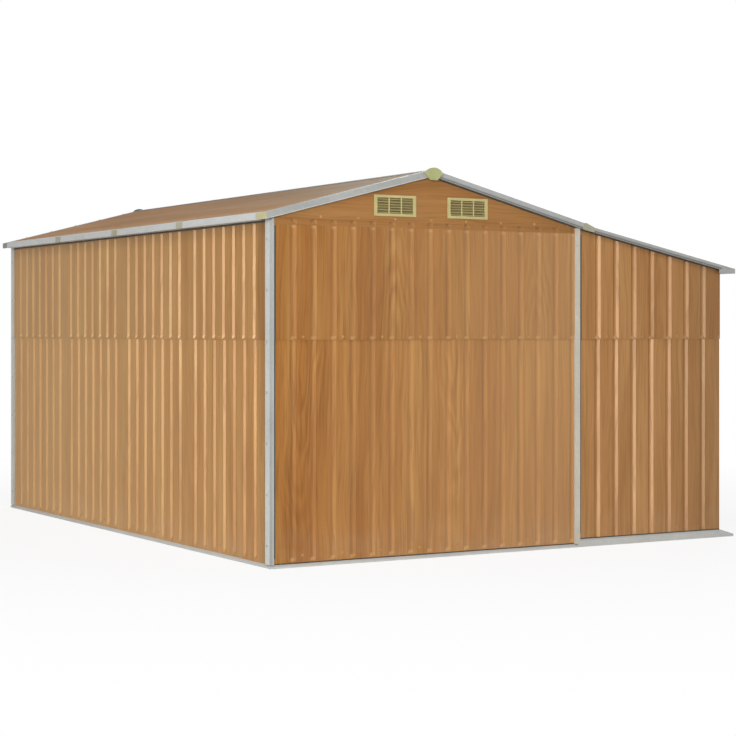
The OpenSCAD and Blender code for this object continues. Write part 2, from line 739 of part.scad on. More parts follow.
// Top rails behind the side sheets, with a flange under the roof
top_rail_low = 70;
module top_rail_outline(under_z, slope) {
  a = upper_recess + groove_d + sheet_t + gap;
  b = a + trim_t;
  c = a + flange_w;
  t = trim_t;
  polygon([[a, under_z - top_rail_low], [b, under_z - top_rail_low], [b, under_z + slope * b - gap - t],
           [c, under_z + slope * c - gap - t], [c, under_z + slope * c - gap],
           [a, under_z + slope * a - gap]]);
}
rail_end = y_end - upper_recess - sheet_t - gap;
module top_rail_left() {
  color(steel) run_y(-rail_end, rail_end) translate([x_left, 0]) top_rail_outline(roof_z, main_tan);
}
module top_rail_right() {
  inside = y_end - recess - sheet_t - 2 * gap - angle_w;
  color(steel) run_y(-inside, inside) translate([x_right, 0]) mirror([1, 0])
    top_rail_outline(lean_eave_z, lean_tan);
}
// Beams under the ridge and under the bend of the roof
beam_w = 40;
beam_h = 45;
beam_end = y_end - panel_set - sheet_t - gap;
module ridge_beam() {
  n = gap / cos(main_pitch);
  side = beam_w / 2 * main_tan + n;
  color(steel) run_y(-beam_end, beam_end) translate([x_ridge, ridge_z]) difference() {
    polygon([[-beam_w / 2, -beam_h], [beam_w / 2, -beam_h], [beam_w / 2, -side], [0, -n],
             [-beam_w / 2, -side]]);
    translate([-beam_w / 2 + trim_t, -beam_h - past])
      square([beam_w - 2 * trim_t, beam_h - side - trim_t + past]);
  }
}
knee_end = rail_end - end_groove_d;
module knee_beam() {
  color(steel) run_y(-knee_end, knee_end)
    translate([x_mid, lean_under(x_mid + beam_w / 2) - gap]) difference() {
    translate([-beam_w / 2, -beam_h]) square([beam_w, beam_h]);
    translate([-beam_w / 2 + trim_t, -beam_h - past]) square([beam_w - 2 * trim_t, beam_h - trim_t + past]);
  }
}

// Sliding doors in the far end: leaves behind the wall sheets, hung from a track
jamb_w = 24;
leaf_y = -y_end + recess + sheet_t + door_set_back;
leaf_low = trim_t;
leaf_top = door_head_z + 20;
jamb_set = 1;
module jamb_outline(reach) {
  translate([-trim_t - gap, jamb_set]) square([trim_t, recess + sheet_t + 2]);
  translate([-trim_t - gap, jamb_set]) square([jamb_w / 2, trim_t]);
  translate([jamb_w / 2 - 2 * trim_t - gap, jamb_set]) square([trim_t, reach - jamb_set]);
}
module door_jambs() {
  color(steel) at_door_end() for (side = [-1, 1]) mirror_at_door(side)
    translate([door_right, -y_end, 0]) {
      run_z(rail_h + gap, seam_z) jamb_outline(recess - gap);
      run_z(seam_z, door_head_z - gap) jamb_outline(upper_recess - gap);
    }
}
module mirror_at_door(side) {
  if (side > 0) children();
  else translate([door_x, 0, 0]) mirror([1, 0, 0]) translate([-door_x, 0, 0]) children();
}
module door_track() {
  x0 = x_left + post_end_w;
  x1 = x_mid - mid_post_w / 2;
  depth = door_set_back + sheet_t + 8;
  track_set = upper_recess + end_groove_d + sheet_t + gap;
  color(steel) at_door_end() {
    run_x(x0, x1) translate([-y_end + track_set, 0]) {
      translate([0, door_head_z]) square([trim_t, end_sheet_top - door_head_z]);
      translate([0, leaf_top + gap]) square([depth, trim_t]);
    }
    run_x(door_left + gap, door_right - gap) translate([-y_end + jamb_set, door_head_z]) {
      square([trim_t, skirt_low - door_head_z - gap]);
      square([track_set - jamb_set + trim_t / 2, trim_t]);
    }
  }
}
leaf_grooves = 4;
leaf_w = door_w / 2 + door_lap - gap / 2;
module door_leaf() {
  pitch = leaf_w / leaf_grooves;
  x0 = door_x + gap / 2;
  color(brown) {
    translate([0, leaf_y, 0])
      grooved_sheet(x0, x0 + leaf_w, leaf_low, leaf_top, leaf_top,
                    [for (i = [0 : leaf_grooves - 1]) x0 + pitch * (i + 0.5)],
                    rail_h + groove_margin, end_press);
    run_z(leaf_low, leaf_top) translate([x0, leaf_y]) square([trim_t, 14]);
    run_z(leaf_low, leaf_top) translate([x0 + leaf_w - trim_t, leaf_y]) square([trim_t, 14]);
  }
}
module door_leaf_right() { at_door_end() door_leaf(); }
module door_leaf_left() { at_door_end() mirror_at_door(-1) door_leaf(); }
handle_w = 22;
handle_h = 130;
handle_z = 900;
handle_out = 14;
module door_handles() {
  color(cream) at_door_end() for (side = [-1, 1]) mirror_at_door(side)
    translate([door_x + 34, leaf_y - gap, handle_z]) difference() {
      run_y(-handle_out, 0) translate([-handle_w / 2, -handle_h / 2]) square([handle_w, handle_h]);
      run_x(-handle_w, handle_w) translate([-handle_out + 5, -handle_h / 2 + 20])
        square([handle_out, handle_h - 40]);
    }
}

base_rail_left();
base_rail_right();
base_rail_closed_end();
base_rail_door_end();
base_rails_lean_to();
corner_post_closed_end();
corner_post_door_end();
mid_post_closed_end();
mid_post_door_end();
corner_angles_right();
left_wall_lower();
left_wall_upper();
right_wall_lower();
right_wall_upper();
closed_end_wall_lower();
closed_end_wall_upper();
lean_to_wall_lower();
lean_to_wall_upper();
door_end_wall_lower();
door_end_wall_upper();
lean_to_door_end_wall_lower();
lean_to_door_end_wall_upper();
door_jambs();
door_track();
door_leaf_left();
door_leaf_right();
door_handles();
gable_panel_closed_end();
gable_panel_door_end();
vent_closed_end_left();
vent_closed_end_right();
vents_door_end();
roof_left();
roof_right();
roof_lean_to();
ridge_cap();
ridge_end_caps();
verge_trim_left();
verge_trim_right();
verge_trim_lean_to();
verge_trims_door_end();
verge_joiners();
eave_trim_left();
eave_trim_lean_to();
eave_joiners();
eave_corner_caps();
top_rail_left();
top_rail_right();
ridge_beam();
knee_beam();
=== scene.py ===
import math

import bmesh
import bpy
from mathutils import Matrix, Vector
from mathutils.bvhtree import BVHTree


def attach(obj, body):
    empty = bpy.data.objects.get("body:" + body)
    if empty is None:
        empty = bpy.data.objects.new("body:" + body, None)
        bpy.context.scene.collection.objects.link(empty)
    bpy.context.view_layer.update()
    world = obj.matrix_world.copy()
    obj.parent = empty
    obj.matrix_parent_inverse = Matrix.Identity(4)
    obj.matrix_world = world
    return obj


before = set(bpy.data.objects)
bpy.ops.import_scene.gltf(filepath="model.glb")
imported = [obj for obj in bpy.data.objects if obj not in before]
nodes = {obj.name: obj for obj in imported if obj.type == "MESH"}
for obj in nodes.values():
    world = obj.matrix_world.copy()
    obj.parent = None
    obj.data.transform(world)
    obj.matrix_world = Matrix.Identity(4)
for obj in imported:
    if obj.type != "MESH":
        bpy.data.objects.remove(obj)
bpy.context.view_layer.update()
scene = bpy.context.scene
print("frame loaded,", len(nodes), "nodes")

# places that the pieces below share, in metres, as in the part's own source
shed = {
    "leftX": -1.3121, "midX": 0.3679, "rightX": 1.2719, "ridgeX": -0.4721, "endY": 1.6885, "vergeY": 1.7015,
    "seamZ": 1.012, "roofZ": 1.583, "gableZ": 1.552, "kneeZ": 1.574, "mainHalf": 0.84,
    "mainPitch": math.radians(14.4), "leanPitch": math.radians(11.75),
    "lowerSet": 0.0100, "upperSet": 0.0050, "panelSet": 0.002, "bay": 0.805, "bays": 4, "doorHalf": 0.48,
}
shedEnds = ((-1, "closed_end"), (1, "door_end"))


# node helpers
def addNode(tree, kind, at, **values):
    node = tree.nodes.new(kind)
    node.location = at
    for key, value in values.items():
        setattr(node, key, value)
    return node


def feed(tree, node, socket, value):
    if isinstance(value, bpy.types.NodeSocket):
        tree.links.new(value, node.inputs[socket])
    else:
        node.inputs[socket].default_value = value


def mathNode(tree, operation, a, b=0.0, at=(0, 0), clamp=False, c=None):
    node = addNode(tree, "ShaderNodeMath", at, operation=operation, use_clamp=clamp)
    feed(tree, node, 0, a)
    feed(tree, node, 1, b)
    if c is not None:
        feed(tree, node, 2, c)
    return node.outputs[0]


def splitPlace(tree, vector, at):
    node = addNode(tree, "ShaderNodeSeparateXYZ", at)
    tree.links.new(vector, node.inputs[0])
    return node.outputs


def noiseAt(tree, vector, stretch, detail, roughness, at):
    mapping = addNode(tree, "ShaderNodeMapping", at)
    feed(tree, mapping, "Vector", vector)
    feed(tree, mapping, "Scale", stretch)
    noise = addNode(tree, "ShaderNodeTexNoise", (at[0] + 180, at[1]))
    feed(tree, noise, "Vector", mapping.outputs[0])
    feed(tree, noise, "Scale", 1.0)
    feed(tree, noise, "Detail", detail)
    feed(tree, noise, "Roughness", roughness)
    return noise.outputs["Fac"]


def remap(tree, value, low, high, at, toLow=0.0, toHigh=1.0, kind="LINEAR"):
    node = addNode(tree, "ShaderNodeMapRange", at, interpolation_type=kind)
    feed(tree, node, "Value", value)
    feed(tree, node, "From Min", low)
    feed(tree, node, "From Max", high)
    feed(tree, node, "To Min", toLow)
    feed(tree, node, "To Max", toHigh)
    return node.outputs["Result"]


def ramp(tree, value, stops, at):
    node = addNode(tree, "ShaderNodeValToRGB", at)
    feed(tree, node, "Fac", value)
    bar = node.color_ramp
    while len(bar.elements) < len(stops):
        bar.elements.new(0.5)
    for element, (place, colour) in zip(bar.elements, stops):
        element.position = place
        element.color = (*colour, 1.0)
    return node.outputs["Color"]


def mixColour(tree, share, a, b, at, blend="MIX"):
    node = addNode(tree, "ShaderNodeMix", at, data_type="RGBA", blend_type=blend)
    for socket, value in ((0, share), (6, a), (7, (*b, 1.0) if isinstance(b, tuple) else b)):
        feed(tree, node, socket, value)
    return node.outputs[2]


def newGroup(name, inputs, outputs):
    tree = bpy.data.node_groups.new(name, "ShaderNodeTree")
    for label, start in inputs.items():
        kind = "NodeSocketVector" if start is None else "NodeSocketFloat"
        socket = tree.interface.new_socket(name=label, in_out="INPUT", socket_type=kind)
        if start is not None:
            socket.default_value = start
    for label in outputs:
        tree.interface.new_socket(name=label, in_out="OUTPUT", socket_type="NodeSocketFloat")
    start = addNode(tree, "NodeGroupInput", (-900, 0))
    return tree, start.outputs, addNode(tree, "NodeGroupOutput", (1300, 0))


# printed wood grain: streaks that wander, flames down the middle of a board, and pores
# each noise is its stretch across, along and by seed, then its detail and roughness
grainSettings = {
    "drift": ((3.0, 1.5, 1.0), 2.0, 0.5), "driftBy": 0.085,
    "broad": ((7.0, 0.55, 1.0), 2.0, 0.55), "broadShare": 0.46,
    "middle": ((44.0, 1.25, 1.0), 3.0, 0.6), "middleShare": 0.40,
    "fine": ((140.0, 3.6, 1.0), 2.0, 0.6), "fineShare": 0.14,
    "hue": ((17.0, 0.4, 1.0), 2.0, 0.5), "wobble": ((9.0, 1.6, 1.0), 3.0, 0.55), "wobbleBy": 1.5,
    "toneRange": (0.36, 0.64), "poreRange": (0.36, 0.46), "hueRange": (0.35, 0.65),
    "board": 0.78, "seedShift": 0.37, "flameWide": 0.085, "flameTall": 0.62, "flameMid": 0.95,
    "flameReach": (0.5, 2.0), "flameShare": 0.10, "rings": 3.2,
}


def makeGrainGroup(s):
    tree, start, end = newGroup("printedGrain", {"Across": 0.0, "Along": 0.0, "Seed": 0.0, "Flame": 0.3},
                                ("Tone", "Pores", "Hue"))
    across, along, seed = start["Across"], start["Along"], start["Seed"]

    def placeAt(across, at):
        node = addNode(tree, "ShaderNodeCombineXYZ", at)
        for socket, value in enumerate((across, along, seed)):
            tree.links.new(value, node.inputs[socket])
        return node.outputs[0]

    drift = noiseAt(tree, placeAt(across, (-700, -200)), *s["drift"], (-700, -500))
    drift = mathNode(tree, "SUBTRACT", drift, 0.5, (-350, -500))
    across = mathNode(tree, "MULTIPLY_ADD", drift, s["driftBy"], (-350, -300), c=across)
    place = placeAt(across, (-180, -200))
    broad = noiseAt(tree, place, *s["broad"], (0, 300))
    middle = noiseAt(tree, place, *s["middle"], (0, 50))
    fine = noiseAt(tree, place, *s["fine"], (0, -200))
    hue = noiseAt(tree, place, *s["hue"], (0, -450))
    # flames: long ovals round the middle of each board
    shift = mathNode(tree, "MULTIPLY", seed, s["seedShift"], (-350, -700))
    wrapped = mathNode(tree, "ADD", across, shift, (-180, -700))
    wrapped = mathNode(tree, "WRAP", wrapped, s["board"] / 2, (0, -700), c=-s["board"] / 2)
    wide = mathNode(tree, "DIVIDE", wrapped, s["flameWide"], (160, -700))
    tall = mathNode(tree, "SUBTRACT", along, s["flameMid"], (0, -880))
    tall = mathNode(tree, "DIVIDE", tall, s["flameTall"], (160, -880))
    wide2 = mathNode(tree, "MULTIPLY", wide, wide, (320, -700))
    tall2 = mathNode(tree, "MULTIPLY", tall, tall, (320, -880))
    oval = mathNode(tree, "SQRT", mathNode(tree, "ADD", wide2, tall2, (480, -780)), at=(640, -780))
    wobble = noiseAt(tree, place, *s["wobble"], (320, -1060))
    uneven = mathNode(tree, "MULTIPLY_ADD", wobble, s["wobbleBy"], (800, -780), c=oval)
    rings = mathNode(tree, "MULTIPLY", uneven, s["rings"] * 2 * math.pi, (800, -950))
    rings = mathNode(tree, "SINE", rings, at=(960, -950))
    near = remap(tree, oval, *s["flameReach"], (800, -600), 1.0, 0.0, "SMOOTHSTEP")
    flame = mathNode(tree, "MULTIPLY", rings, near, (960, -700))
    flame = mathNode(tree, "MULTIPLY", flame, start["Flame"], (1100, -700))
    tone = mathNode(tree, "MULTIPLY", broad, s["broadShare"], (420, 300))
    tone = mathNode(tree, "MULTIPLY_ADD", middle, s["middleShare"], (600, 250), c=tone)
    tone = mathNode(tree, "MULTIPLY_ADD", fine, s["fineShare"], (760, 200), c=tone)
    tone = mathNode(tree, "MULTIPLY_ADD", flame, s["flameShare"], (920, 150), c=tone)
    pores = remap(tree, fine, *s["poreRange"], (760, -50), 1.0, 0.0, "SMOOTHSTEP")
    tree.links.new(remap(tree, tone, *s["toneRange"], (1080, 150)), end.inputs["Tone"])
    tree.links.new(pores, end.inputs["Pores"])
    tree.links.new(remap(tree, hue, *s["hueRange"], (760, -400)), end.inputs["Hue"])
    return tree


# dust that lies low on the sheets and in soft patches
dustSettings = {"patches": ((6.0, 6.0, 9.0), 4.0, 0.6), "patchRange": (0.35, 0.7)}


def makeDustGroup(s):
    tree, start, end = newGroup("sheetDust", {"Vector": None, "Low": 0.05, "Reach": 0.25}, ("Dust",))
    high = splitPlace(tree, start["Vector"], (-600, 0))[2]
    high = remap(tree, high, start["Low"], start["Reach"], (-400, 0), 1.0, 0.0, "SMOOTHSTEP")
    patches = noiseAt(tree, start["Vector"], *s["patches"], (-600, -300))
    patches = remap(tree, patches, *s["patchRange"], (-200, -300))
    tree.links.new(mathNode(tree, "MULTIPLY", high, patches, (100, 0)), end.inputs["Dust"])
    return tree


# zinc crystals, a soft clouding and fine upright scratches
spangleSettings = {"cloud": ((3.5, 3.5, 3.5), 4.0, 0.6), "scratch": ((260.0, 260.0, 12.0), 2.0, 0.5),
                   "range": (0.3, 0.7)}


def makeSpangleGroup(s):
    tree, start, end = newGroup("zincSpangle", {"Vector": None, "Size": 90.0}, ("Crystal", "Cloud", "Scratch"))
    cells = addNode(tree, "ShaderNodeTexVoronoi", (-500, 200), feature="F1")
    tree.links.new(start["Vector"], cells.inputs["Vector"])
    tree.links.new(start["Size"], cells.inputs["Scale"])
    split = addNode(tree, "ShaderNodeSeparateColor", (-300, 200))
    tree.links.new(cells.outputs["Color"], split.inputs[0])
    tree.links.new(split.outputs[0], end.inputs["Crystal"])
    cloud = noiseAt(tree, start["Vector"], *s["cloud"], (-500, -100))
    tree.links.new(remap(tree, cloud, *s["range"], (-100, -100)), end.inputs["Cloud"])
    lines = noiseAt(tree, start["Vector"], *s["scratch"], (-500, -400))
    tree.links.new(remap(tree, lines, *s["range"], (-100, -400)), end.inputs["Scratch"])
    return tree


# orange peel of a coated sheet or a moulded skin, over a slow wave
peelSettings = {"detail": 2.0, "fineShare": 0.12, "wave": ((2.4, 2.4, 1.6), 2.0, 0.5)}


def makePeelGroup(s):
    tree, start, end = newGroup("coatPeel", {"Vector": None, "Size": 300.0}, ("Height",))
    fine = addNode(tree, "ShaderNodeTexNoise", (-300, 0))
    tree.links.new(start["Vector"], fine.inputs["Vector"])
    tree.links.new(start["Size"], fine.inputs["Scale"])
    feed(tree, fine, "Detail", s["detail"])
    wave = noiseAt(tree, start["Vector"], *s["wave"], (-500, -300))
    height = mathNode(tree, "MULTIPLY_ADD", fine.outputs["Fac"], s["fineShare"], (0, 0), c=wave)
    tree.links.new(height, end.inputs["Height"])
    return tree


# painted highlight where a pressed groove runs out: how far to the side and up or down it is full, and where it
# ends
glintSettings = {"aside": (0.005, 0.018), "above": (0.003, 0.012)}


def makeEndsGroup(s):
    tree, start, end = newGroup("pressedEnds", {"Across": 0.0, "Height": 0.0, "Step": 0.1, "Level": 1.0},
                                ("Glint",))
    half = mathNode(tree, "MULTIPLY", start["Step"], 0.5, (-700, 0))
    less = mathNode(tree, "MULTIPLY", start["Step"], -0.5, (-700, -160))
    aside = mathNode(tree, "WRAP", start["Across"], half, (-500, 0), c=less)
    aside = mathNode(tree, "ABSOLUTE", aside, at=(-300, 0))
    above = mathNode(tree, "SUBTRACT", start["Height"], start["Level"], (-500, -300))
    above = mathNode(tree, "ABSOLUTE", above, at=(-300, -300))
    near = remap(tree, aside, *s["aside"], (-100, 0), 1.0, 0.0, "SMOOTHSTEP")
    level = remap(tree, above, *s["above"], (-100, -300), 1.0, 0.0, "SMOOTHSTEP")
    tree.links.new(mathNode(tree, "MULTIPLY", near, level, (100, 0)), end.inputs["Glint"])
    return tree


grainGroup = makeGrainGroup(grainSettings)
endsGroup = makeEndsGroup(glintSettings)
dustGroup = makeDustGroup(dustSettings)
spangleGroup = makeSpangleGroup(spangleSettings)
peelGroup = makePeelGroup(peelSettings)
print("node groups made")


def newMaterial(name):
    material = bpy.data.materials.new(name)
    material.use_nodes = True
    tree = material.node_tree
    tree.nodes.clear()
    shader = addNode(tree, "ShaderNodeBsdfPrincipled", (900, 0))
    out = addNode(tree, "ShaderNodeOutputMaterial", (1200, 0))
    tree.links.new(shader.outputs[0], out.inputs["Surface"])
    where = addNode(tree, "ShaderNodeTexCoord", (-900, 0)).outputs["Object"]
    return material, tree, shader, where


def placeGroup(tree, group, at, **values):
    node = addNode(tree, "ShaderNodeGroup", at, node_tree=group)
    for label, value in values.items():
        feed(tree, node, label, value)
    return node.outputs


def bumpFrom(tree, shader, height, strength, distance, at):
    bump = addNode(tree, "ShaderNodeBump", at)
    feed(tree, bump, "Strength", strength)
    feed(tree, bump, "Distance", distance)
    tree.links.new(height, bump.inputs["Height"])
    tree.links.new(bump.outputs[0], shader.inputs["Normal"])


# wood-tone printed sheets: tones from dark to light, the way the grain runs, and a gradient over each sheet
# the end, side and lean-to prints are one print whose differing tones are painted light and shade
# gradientAt: axis, middle, and how far from it the gradient begins and is full
# paintedShade: painted shade, towards which way, where it begins and is full, and the most of it
printSettings = {
    "endPrint": {
        "dark": (0.205, 0.068, 0.006), "middle": (0.300, 0.123, 0.021), "light": (0.396, 0.190, 0.046),
        "warm": (0.322, 0.111, 0.017), "grain": "up", "flame": 0.60, "gloss": 0.30, "shine": 0.46, "metal": 0.08,
        "gradientTone": (0.62, 0.40, 0.20), "gradientBy": 0.30, "gradientAt": ("x", -1.25, 0.0, 1.6)},
    "sidePrint": {
        "dark": (0.280, 0.120, 0.027), "middle": (0.368, 0.190, 0.057), "light": (0.444, 0.250, 0.084),
        "warm": (0.372, 0.172, 0.049), "grain": "up", "flame": 0.35, "gloss": 0.31, "shine": 0.44, "metal": 0.03,
        "gradientTone": (0.60, 0.38, 0.18), "gradientBy": 0.30, "gradientAt": ("y", -1.7, 0.2, 2.4),
        "paintedShade": (((0.0, 0.0, 1.0), 1.460, 1.540, 0.34), ((0.0, -1.0, 0.0), 1.530, 1.615, 0.30))},
    "leanPrint": {
        "dark": (0.268, 0.113, 0.025), "middle": (0.348, 0.168, 0.050), "light": (0.438, 0.228, 0.079),
        "warm": (0.370, 0.157, 0.045), "grain": "up", "flame": 0.35, "gloss": 0.31, "shine": 0.46, "metal": 0.02,
        "gradientTone": (0.45, 0.27, 0.12), "gradientBy": 0.06, "gradientAt": ("x", -1.2, 0.0, 1.6),
        "paintedShade": (((0.20801, 0.0, 1.0), 1.5938, 1.6308, 0.40), ((1.0, 0.0, 0.0), 0.82, 1.32, 0.25))},
    "gablePrint": {
        "dark": (0.240, 0.105, 0.026), "middle": (0.300, 0.140, 0.040), "light": (0.358, 0.178, 0.058),
        "warm": (0.317, 0.128, 0.034), "grain": "along", "flame": 0.30, "gloss": 0.40, "shine": 0.30, "metal": 0.08,
        "gradientTone": (0.45, 0.27, 0.12), "gradientBy": 0.06, "gradientAt": ("x", -1.2, 0.0, 1.6)},
    "roofPrint": {
        "dark": (0.330, 0.175, 0.074), "middle": (0.470, 0.262, 0.126), "light": (0.575, 0.344, 0.176),
        "warm": (0.486, 0.242, 0.108), "grain": "back", "flame": 0.3, "gloss": 0.60, "shine": 0.03, "metal": 0.0,
        "gradientTone": (0.190, 0.128, 0.060), "gradientBy": 0.92, "gradientAt": ("x", shed["ridgeX"], 0.90, 0.25),
        "nearY": (0.8, -1.5, 0.15, 1.0), "nearX": (-0.46, -0.42, 1.0, 0.2)},
}
# what all the printed sheets share
printCoat = {
    "tint": (1.0, 0.90, 0.78, 1.0), "hueShare": 0.45, "poreShare": 0.28, "poreDark": 0.62,
    "dustLow": 0.02, "dustReach": 0.22, "dustShare": 0.16, "dust": (0.42, 0.36, 0.29), "dustRough": 0.2,
    "glintTone": (0.66, 0.42, 0.19), "paintedShade": (0.050, 0.022, 0.006), "toneRough": -0.07, "roughBy": 0.05,
    "peelSize": 320.0, "poreDeep": -0.10, "bump": (0.10, 0.004),
}
# where the grooves of each wall sheet end, and how strong the painted highlight there is
endSettings = {
    "endLow": {"axis": "x", "from": -1.1961, "step": 0.1025, "levels": (0.034,), "by": 0.28},
    "endHigh": {"axis": "x", "from": -1.1961, "step": 0.1025, "levels": (1.021, 1.519), "by": 0.27},
    "leanHigh": {"axis": "x", "from": 0.4899, "step": 0.111, "levels": (1.021,), "by": 0.30},
    "sideHigh": {"axis": "y", "from": 0.4125, "step": 0.105, "bay": shed["bay"], "levels": (1.024,), "by": 0.40},
}


def makePrint(name, s, coat, seed, level, dull, ends):
    material, tree, shader, where = newMaterial(name)
    feed(tree, shader, "Specular IOR Level", s["shine"])
    feed(tree, shader, "Metallic", s["metal"])  # steel shines through the print
    feed(tree, shader, "Specular Tint", coat["tint"])
    x, y, z = splitPlace(tree, where, (-720, 0))
    if s["grain"] == "up":  # walls: either x or y runs across the boards
        across, along = mathNode(tree, "ADD", x, y, (-560, 0)), z
    elif s["grain"] == "along":  # the gable panel lies on its side
        across, along = z, x
    else:  # roof boards run with the ridge
        across, along = x, y
    grain = placeGroup(tree, grainGroup, (-360, 0), Across=across, Along=along, Seed=seed, Flame=s["flame"])
    tones = [(0.0, s["dark"]), (0.5, s["middle"]), (1.0, s["light"])]
    colour = ramp(tree, grain["Tone"], tones, (-120, 200))
    share = mathNode(tree, "MULTIPLY", grain["Hue"], coat["hueShare"], (-120, -60))
    colour = mixColour(tree, share, colour, s["warm"], (180, 200))
    share = mathNode(tree, "MULTIPLY", grain["Pores"], coat["poreShare"], (-120, -220))
    colour = mixColour(tree, share, colour, tuple(v * coat["poreDark"] for v in s["dark"]), (360, 200))
    dust = placeGroup(tree, dustGroup, (-120, -420), Vector=where, Low=coat["dustLow"], Reach=coat["dustReach"])
    share = mathNode(tree, "MULTIPLY", dust["Dust"], coat["dustShare"], (120, -420))
    colour = mixColour(tree, share, colour, coat["dust"], (560, 200))
    axis, middle, begin, full = s["gradientAt"]  # walls pale away from the near corner, a painted sheen; the roof greys towards its ridge
    away = mathNode(tree, "SUBTRACT", x if axis == "x" else y, middle, (-200, 420))
    away = mathNode(tree, "ABSOLUTE", away, at=(-40, 420))
    share = remap(tree, away, begin, full, (120, 420), 0.0, s["gradientBy"])
    for label, place, high in (("nearY", y, 620), ("nearX", x, 720)):
        if label in s:  # most at the closed end, on the left slope
            low, top, least, most = s[label]
            part = remap(tree, place, low, top, (120, high), least, most)
            share = mathNode(tree, "MULTIPLY", share, part, (300, high - 100))
    colour = mixColour(tree, share, colour, s["gradientTone"], (640, 420))
    # painted highlights at the groove ends, mixed into the colour
    if ends:
        place = mathNode(tree, "SUBTRACT", x if ends["axis"] == "x" else y, ends["from"], (-200, 1040))
        if "bay" in ends:  # the count starts again in every bay
            place = mathNode(tree, "WRAP", place, ends["bay"] / 2, (-40, 1040), c=-ends["bay"] / 2)
        for high in ends["levels"]:
            glint = placeGroup(tree, endsGroup, (120, 1040), Across=place, Height=z, Step=ends["step"], Level=high)
            share = mathNode(tree, "MULTIPLY", glint["Glint"], ends["by"], (300, 1040))
            colour = mixColour(tree, share, colour, coat["glintTone"], (700, 840))
    for towards, begin, full, most in s.get("paintedShade", ()):  # painted shade under an eave and a verge and beside a corner post, and darker towards the lean-to's right end
        reach = addNode(tree, "ShaderNodeVectorMath", (-200, 820), operation="DOT_PRODUCT")
        feed(tree, reach, 0, where)
        feed(tree, reach, 1, towards)
        share = remap(tree, reach.outputs["Value"], begin, full, (120, 820), 0.0, most, "SMOOTHSTEP")
        colour = mixColour(tree, share, colour, coat["paintedShade"], (700, 620))
    # painted light and shade: each sheet's colour scaled by its own brightness level
    colour = mixColour(tree, 1.0, colour, (level, level, level), (760, 200), "MULTIPLY")
    tree.links.new(colour, shader.inputs["Base Color"])
    rough = mathNode(tree, "MULTIPLY_ADD", grain["Tone"], coat["toneRough"], (360, -120),
                     c=s["gloss"] + dull + coat["roughBy"])
    rough = mathNode(tree, "MULTIPLY_ADD", dust["Dust"], coat["dustRough"], (560, -120), c=rough)
    tree.links.new(rough, shader.inputs["Roughness"])
    peel = placeGroup(tree, peelGroup, (120, -620), Vector=where, Size=coat["peelSize"])
    height = mathNode(tree, "MULTIPLY_ADD", grain["Pores"], coat["poreDeep"], (360, -620), c=peel["Height"])
    bumpFrom(tree, shader, height, *coat["bump"], (600, -620))
    return material


# zinc: bright on posts and trims, duller on the beams inside; the lighter zinc of the left eave is painted light,
# the darker zinc of the right-hand eave and verges is painted shade
# edge: where a lower edge starts, its slope and its height there, for a painted shade along it; turn: brightness by
# how far a face looks left, a painted light and shade
zincSettings = {
    "zincBright": {"low": (0.272, 0.281, 0.268), "high": (0.368, 0.376, 0.358), "metal": 0.30, "rough": 0.45},
    "zincLight": {"low": (0.425, 0.440, 0.432), "high": (0.530, 0.545, 0.535), "metal": 0.18, "rough": 0.45},
    "zincRail": {"low": (0.385, 0.395, 0.384), "high": (0.485, 0.495, 0.480), "metal": 0.15, "rough": 0.48},
    "zincWarm": {"low": (0.430, 0.400, 0.335), "high": (0.540, 0.500, 0.420), "metal": 0.20, "rough": 0.48},
    "zincDark": {"low": (0.280, 0.287, 0.278), "high": (0.365, 0.372, 0.360), "metal": 0.25, "rough": 0.50},
    "zincVerge": {"low": (0.300, 0.308, 0.298), "high": (0.385, 0.393, 0.380), "metal": 0.20, "rough": 0.50,
                  "edge": (shed["ridgeX"], shed["mainPitch"], 1.7711)},
    "zincLeanVerge": {"low": (0.300, 0.308, 0.298), "high": (0.385, 0.393, 0.380), "metal": 0.20, "rough": 0.50,
                      "edge": (shed["midX"], shed["leanPitch"], 1.5543)},
    "zincPost": {"low": (0.430, 0.442, 0.425), "high": (0.550, 0.562, 0.540), "metal": 0.28, "rough": 0.45,
                 "turn": ((0.0, 0.72), (0.45, 0.72), (0.69, 0.40), (0.78, 0.44), (0.95, 1.0))},
    "zincRidge": {"low": (0.130, 0.122, 0.105), "high": (0.185, 0.175, 0.150), "metal": 0.05, "rough": 0.70},
    "zincDull": {"low": (0.26, 0.27, 0.27), "high": (0.35, 0.36, 0.36), "metal": 0.40, "rough": 0.52},
}
# what all the zinc pieces share
zincCoat = {
    "size": 85.0, "crystalShare": 0.35, "cloudShare": 0.65, "crystalRough": 0.10, "scratchRough": 0.06,
    "roughBy": -0.05, "dustReach": 0.10, "dustShare": 0.35, "dust": (0.46, 0.41, 0.34), "dustMetal": -0.5,
    "drip": (0.100, 0.088, 0.070), "dripFull": 0.002, "dripEnd": 0.014, "dripMost": 0.85,
    "peelSize": 180.0, "bump": (0.10, 0.003),
}


